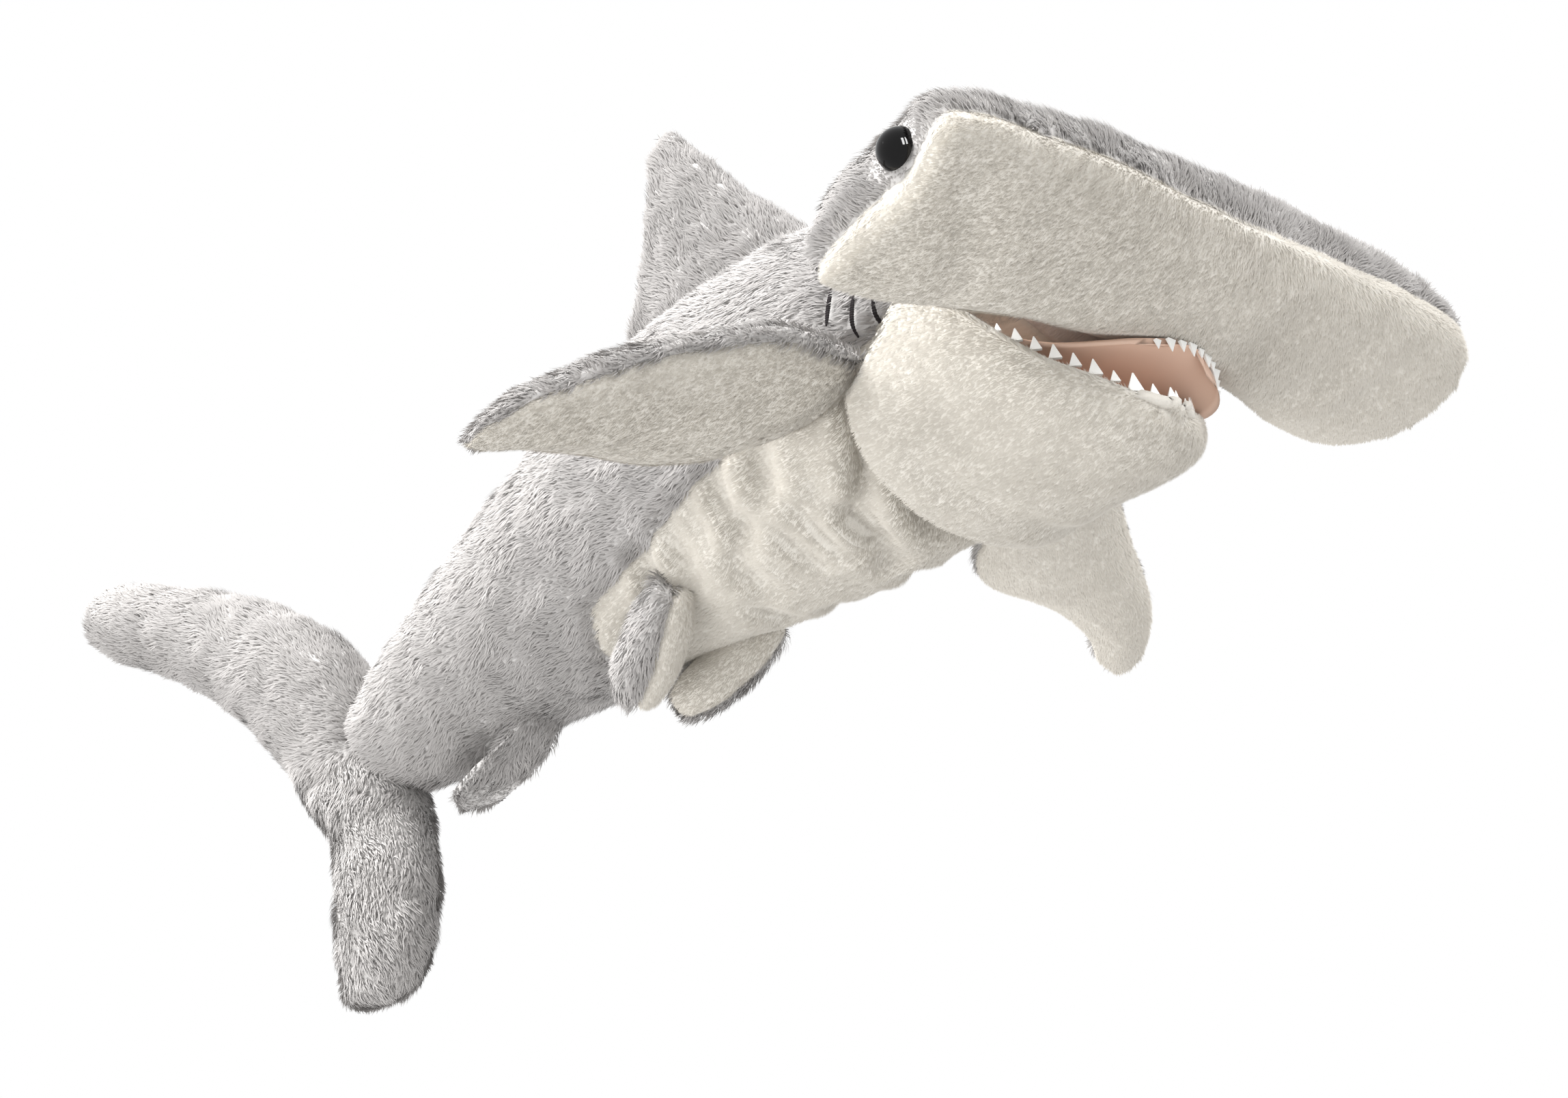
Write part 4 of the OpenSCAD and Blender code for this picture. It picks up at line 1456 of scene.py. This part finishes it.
class SHARK_OT_tail(bpy.types.Operator):
    """Makes the two-lobed tail fin"""

    bl_idname = "shark.tail"
    bl_label = "Tail fin"

    def execute(self, context):
        use_settings(context)
        build_tail()
        return {"FINISHED"}


class SHARK_OT_stitches(bpy.types.Operator):
    """Makes the satin-stitched gill lines"""

    bl_idname = "shark.stitches"
    bl_label = "Gill stitches"

    def execute(self, context):
        build_stitches()
        return {"FINISHED"}


class SHARK_OT_eyes(bpy.types.Operator):
    """Finishes the bead eyes and their washers"""

    bl_idname = "shark.eyes"
    bl_label = "Eyes"

    def execute(self, context):
        finish_eyes(FRAME["nodes"])
        return {"FINISHED"}


class SHARK_OT_stage(bpy.types.Operator):
    """Makes the floor, lights and camera"""

    bl_idname = "shark.stage"
    bl_label = "Stage"

    def execute(self, context):
        build_stage()
        return {"FINISHED"}


OPERATORS = [
    SHARK_OT_body, SHARK_OT_jaw, SHARK_OT_palate, SHARK_OT_teeth, SHARK_OT_pectorals, SHARK_OT_pelvics,
    SHARK_OT_dorsal, SHARK_OT_anal, SHARK_OT_tail, SHARK_OT_stitches, SHARK_OT_eyes, SHARK_OT_stage,
]


class SHARK_PT_panel(bpy.types.Panel):
    """Sidebar panel with the building steps."""

    bl_label = "Plush shark"
    bl_idname = "SHARK_PT_panel"
    bl_space_type = "VIEW_3D"
    bl_region_type = "UI"
    bl_category = "Plush shark"

    def draw(self, context):
        settings = context.scene.plush_shark
        for name in ("grey_length", "cream_length", "density"):
            self.layout.prop(settings, name)
        for step in OPERATORS:
            self.layout.operator(step.bl_idname)


CLASSES = [SharkSettings, *OPERATORS, SHARK_PT_panel]


def register():
    for cls in CLASSES:
        bpy.utils.register_class(cls)
    bpy.types.Scene.plush_shark = bpy.props.PointerProperty(type=SharkSettings)


def unregister():
    del bpy.types.Scene.plush_shark
    for cls in reversed(CLASSES):
        bpy.utils.unregister_class(cls)


def main():
    FRAME.update(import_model())
    register()
    for step in OPERATORS:
        namespace, name = step.bl_idname.split(".")
        result = getattr(getattr(bpy.ops, namespace), name)()
        if result != {"FINISHED"}:
            raise RuntimeError(f"{step.bl_idname} did not finish")


if __name__ == "__main__":
    main()
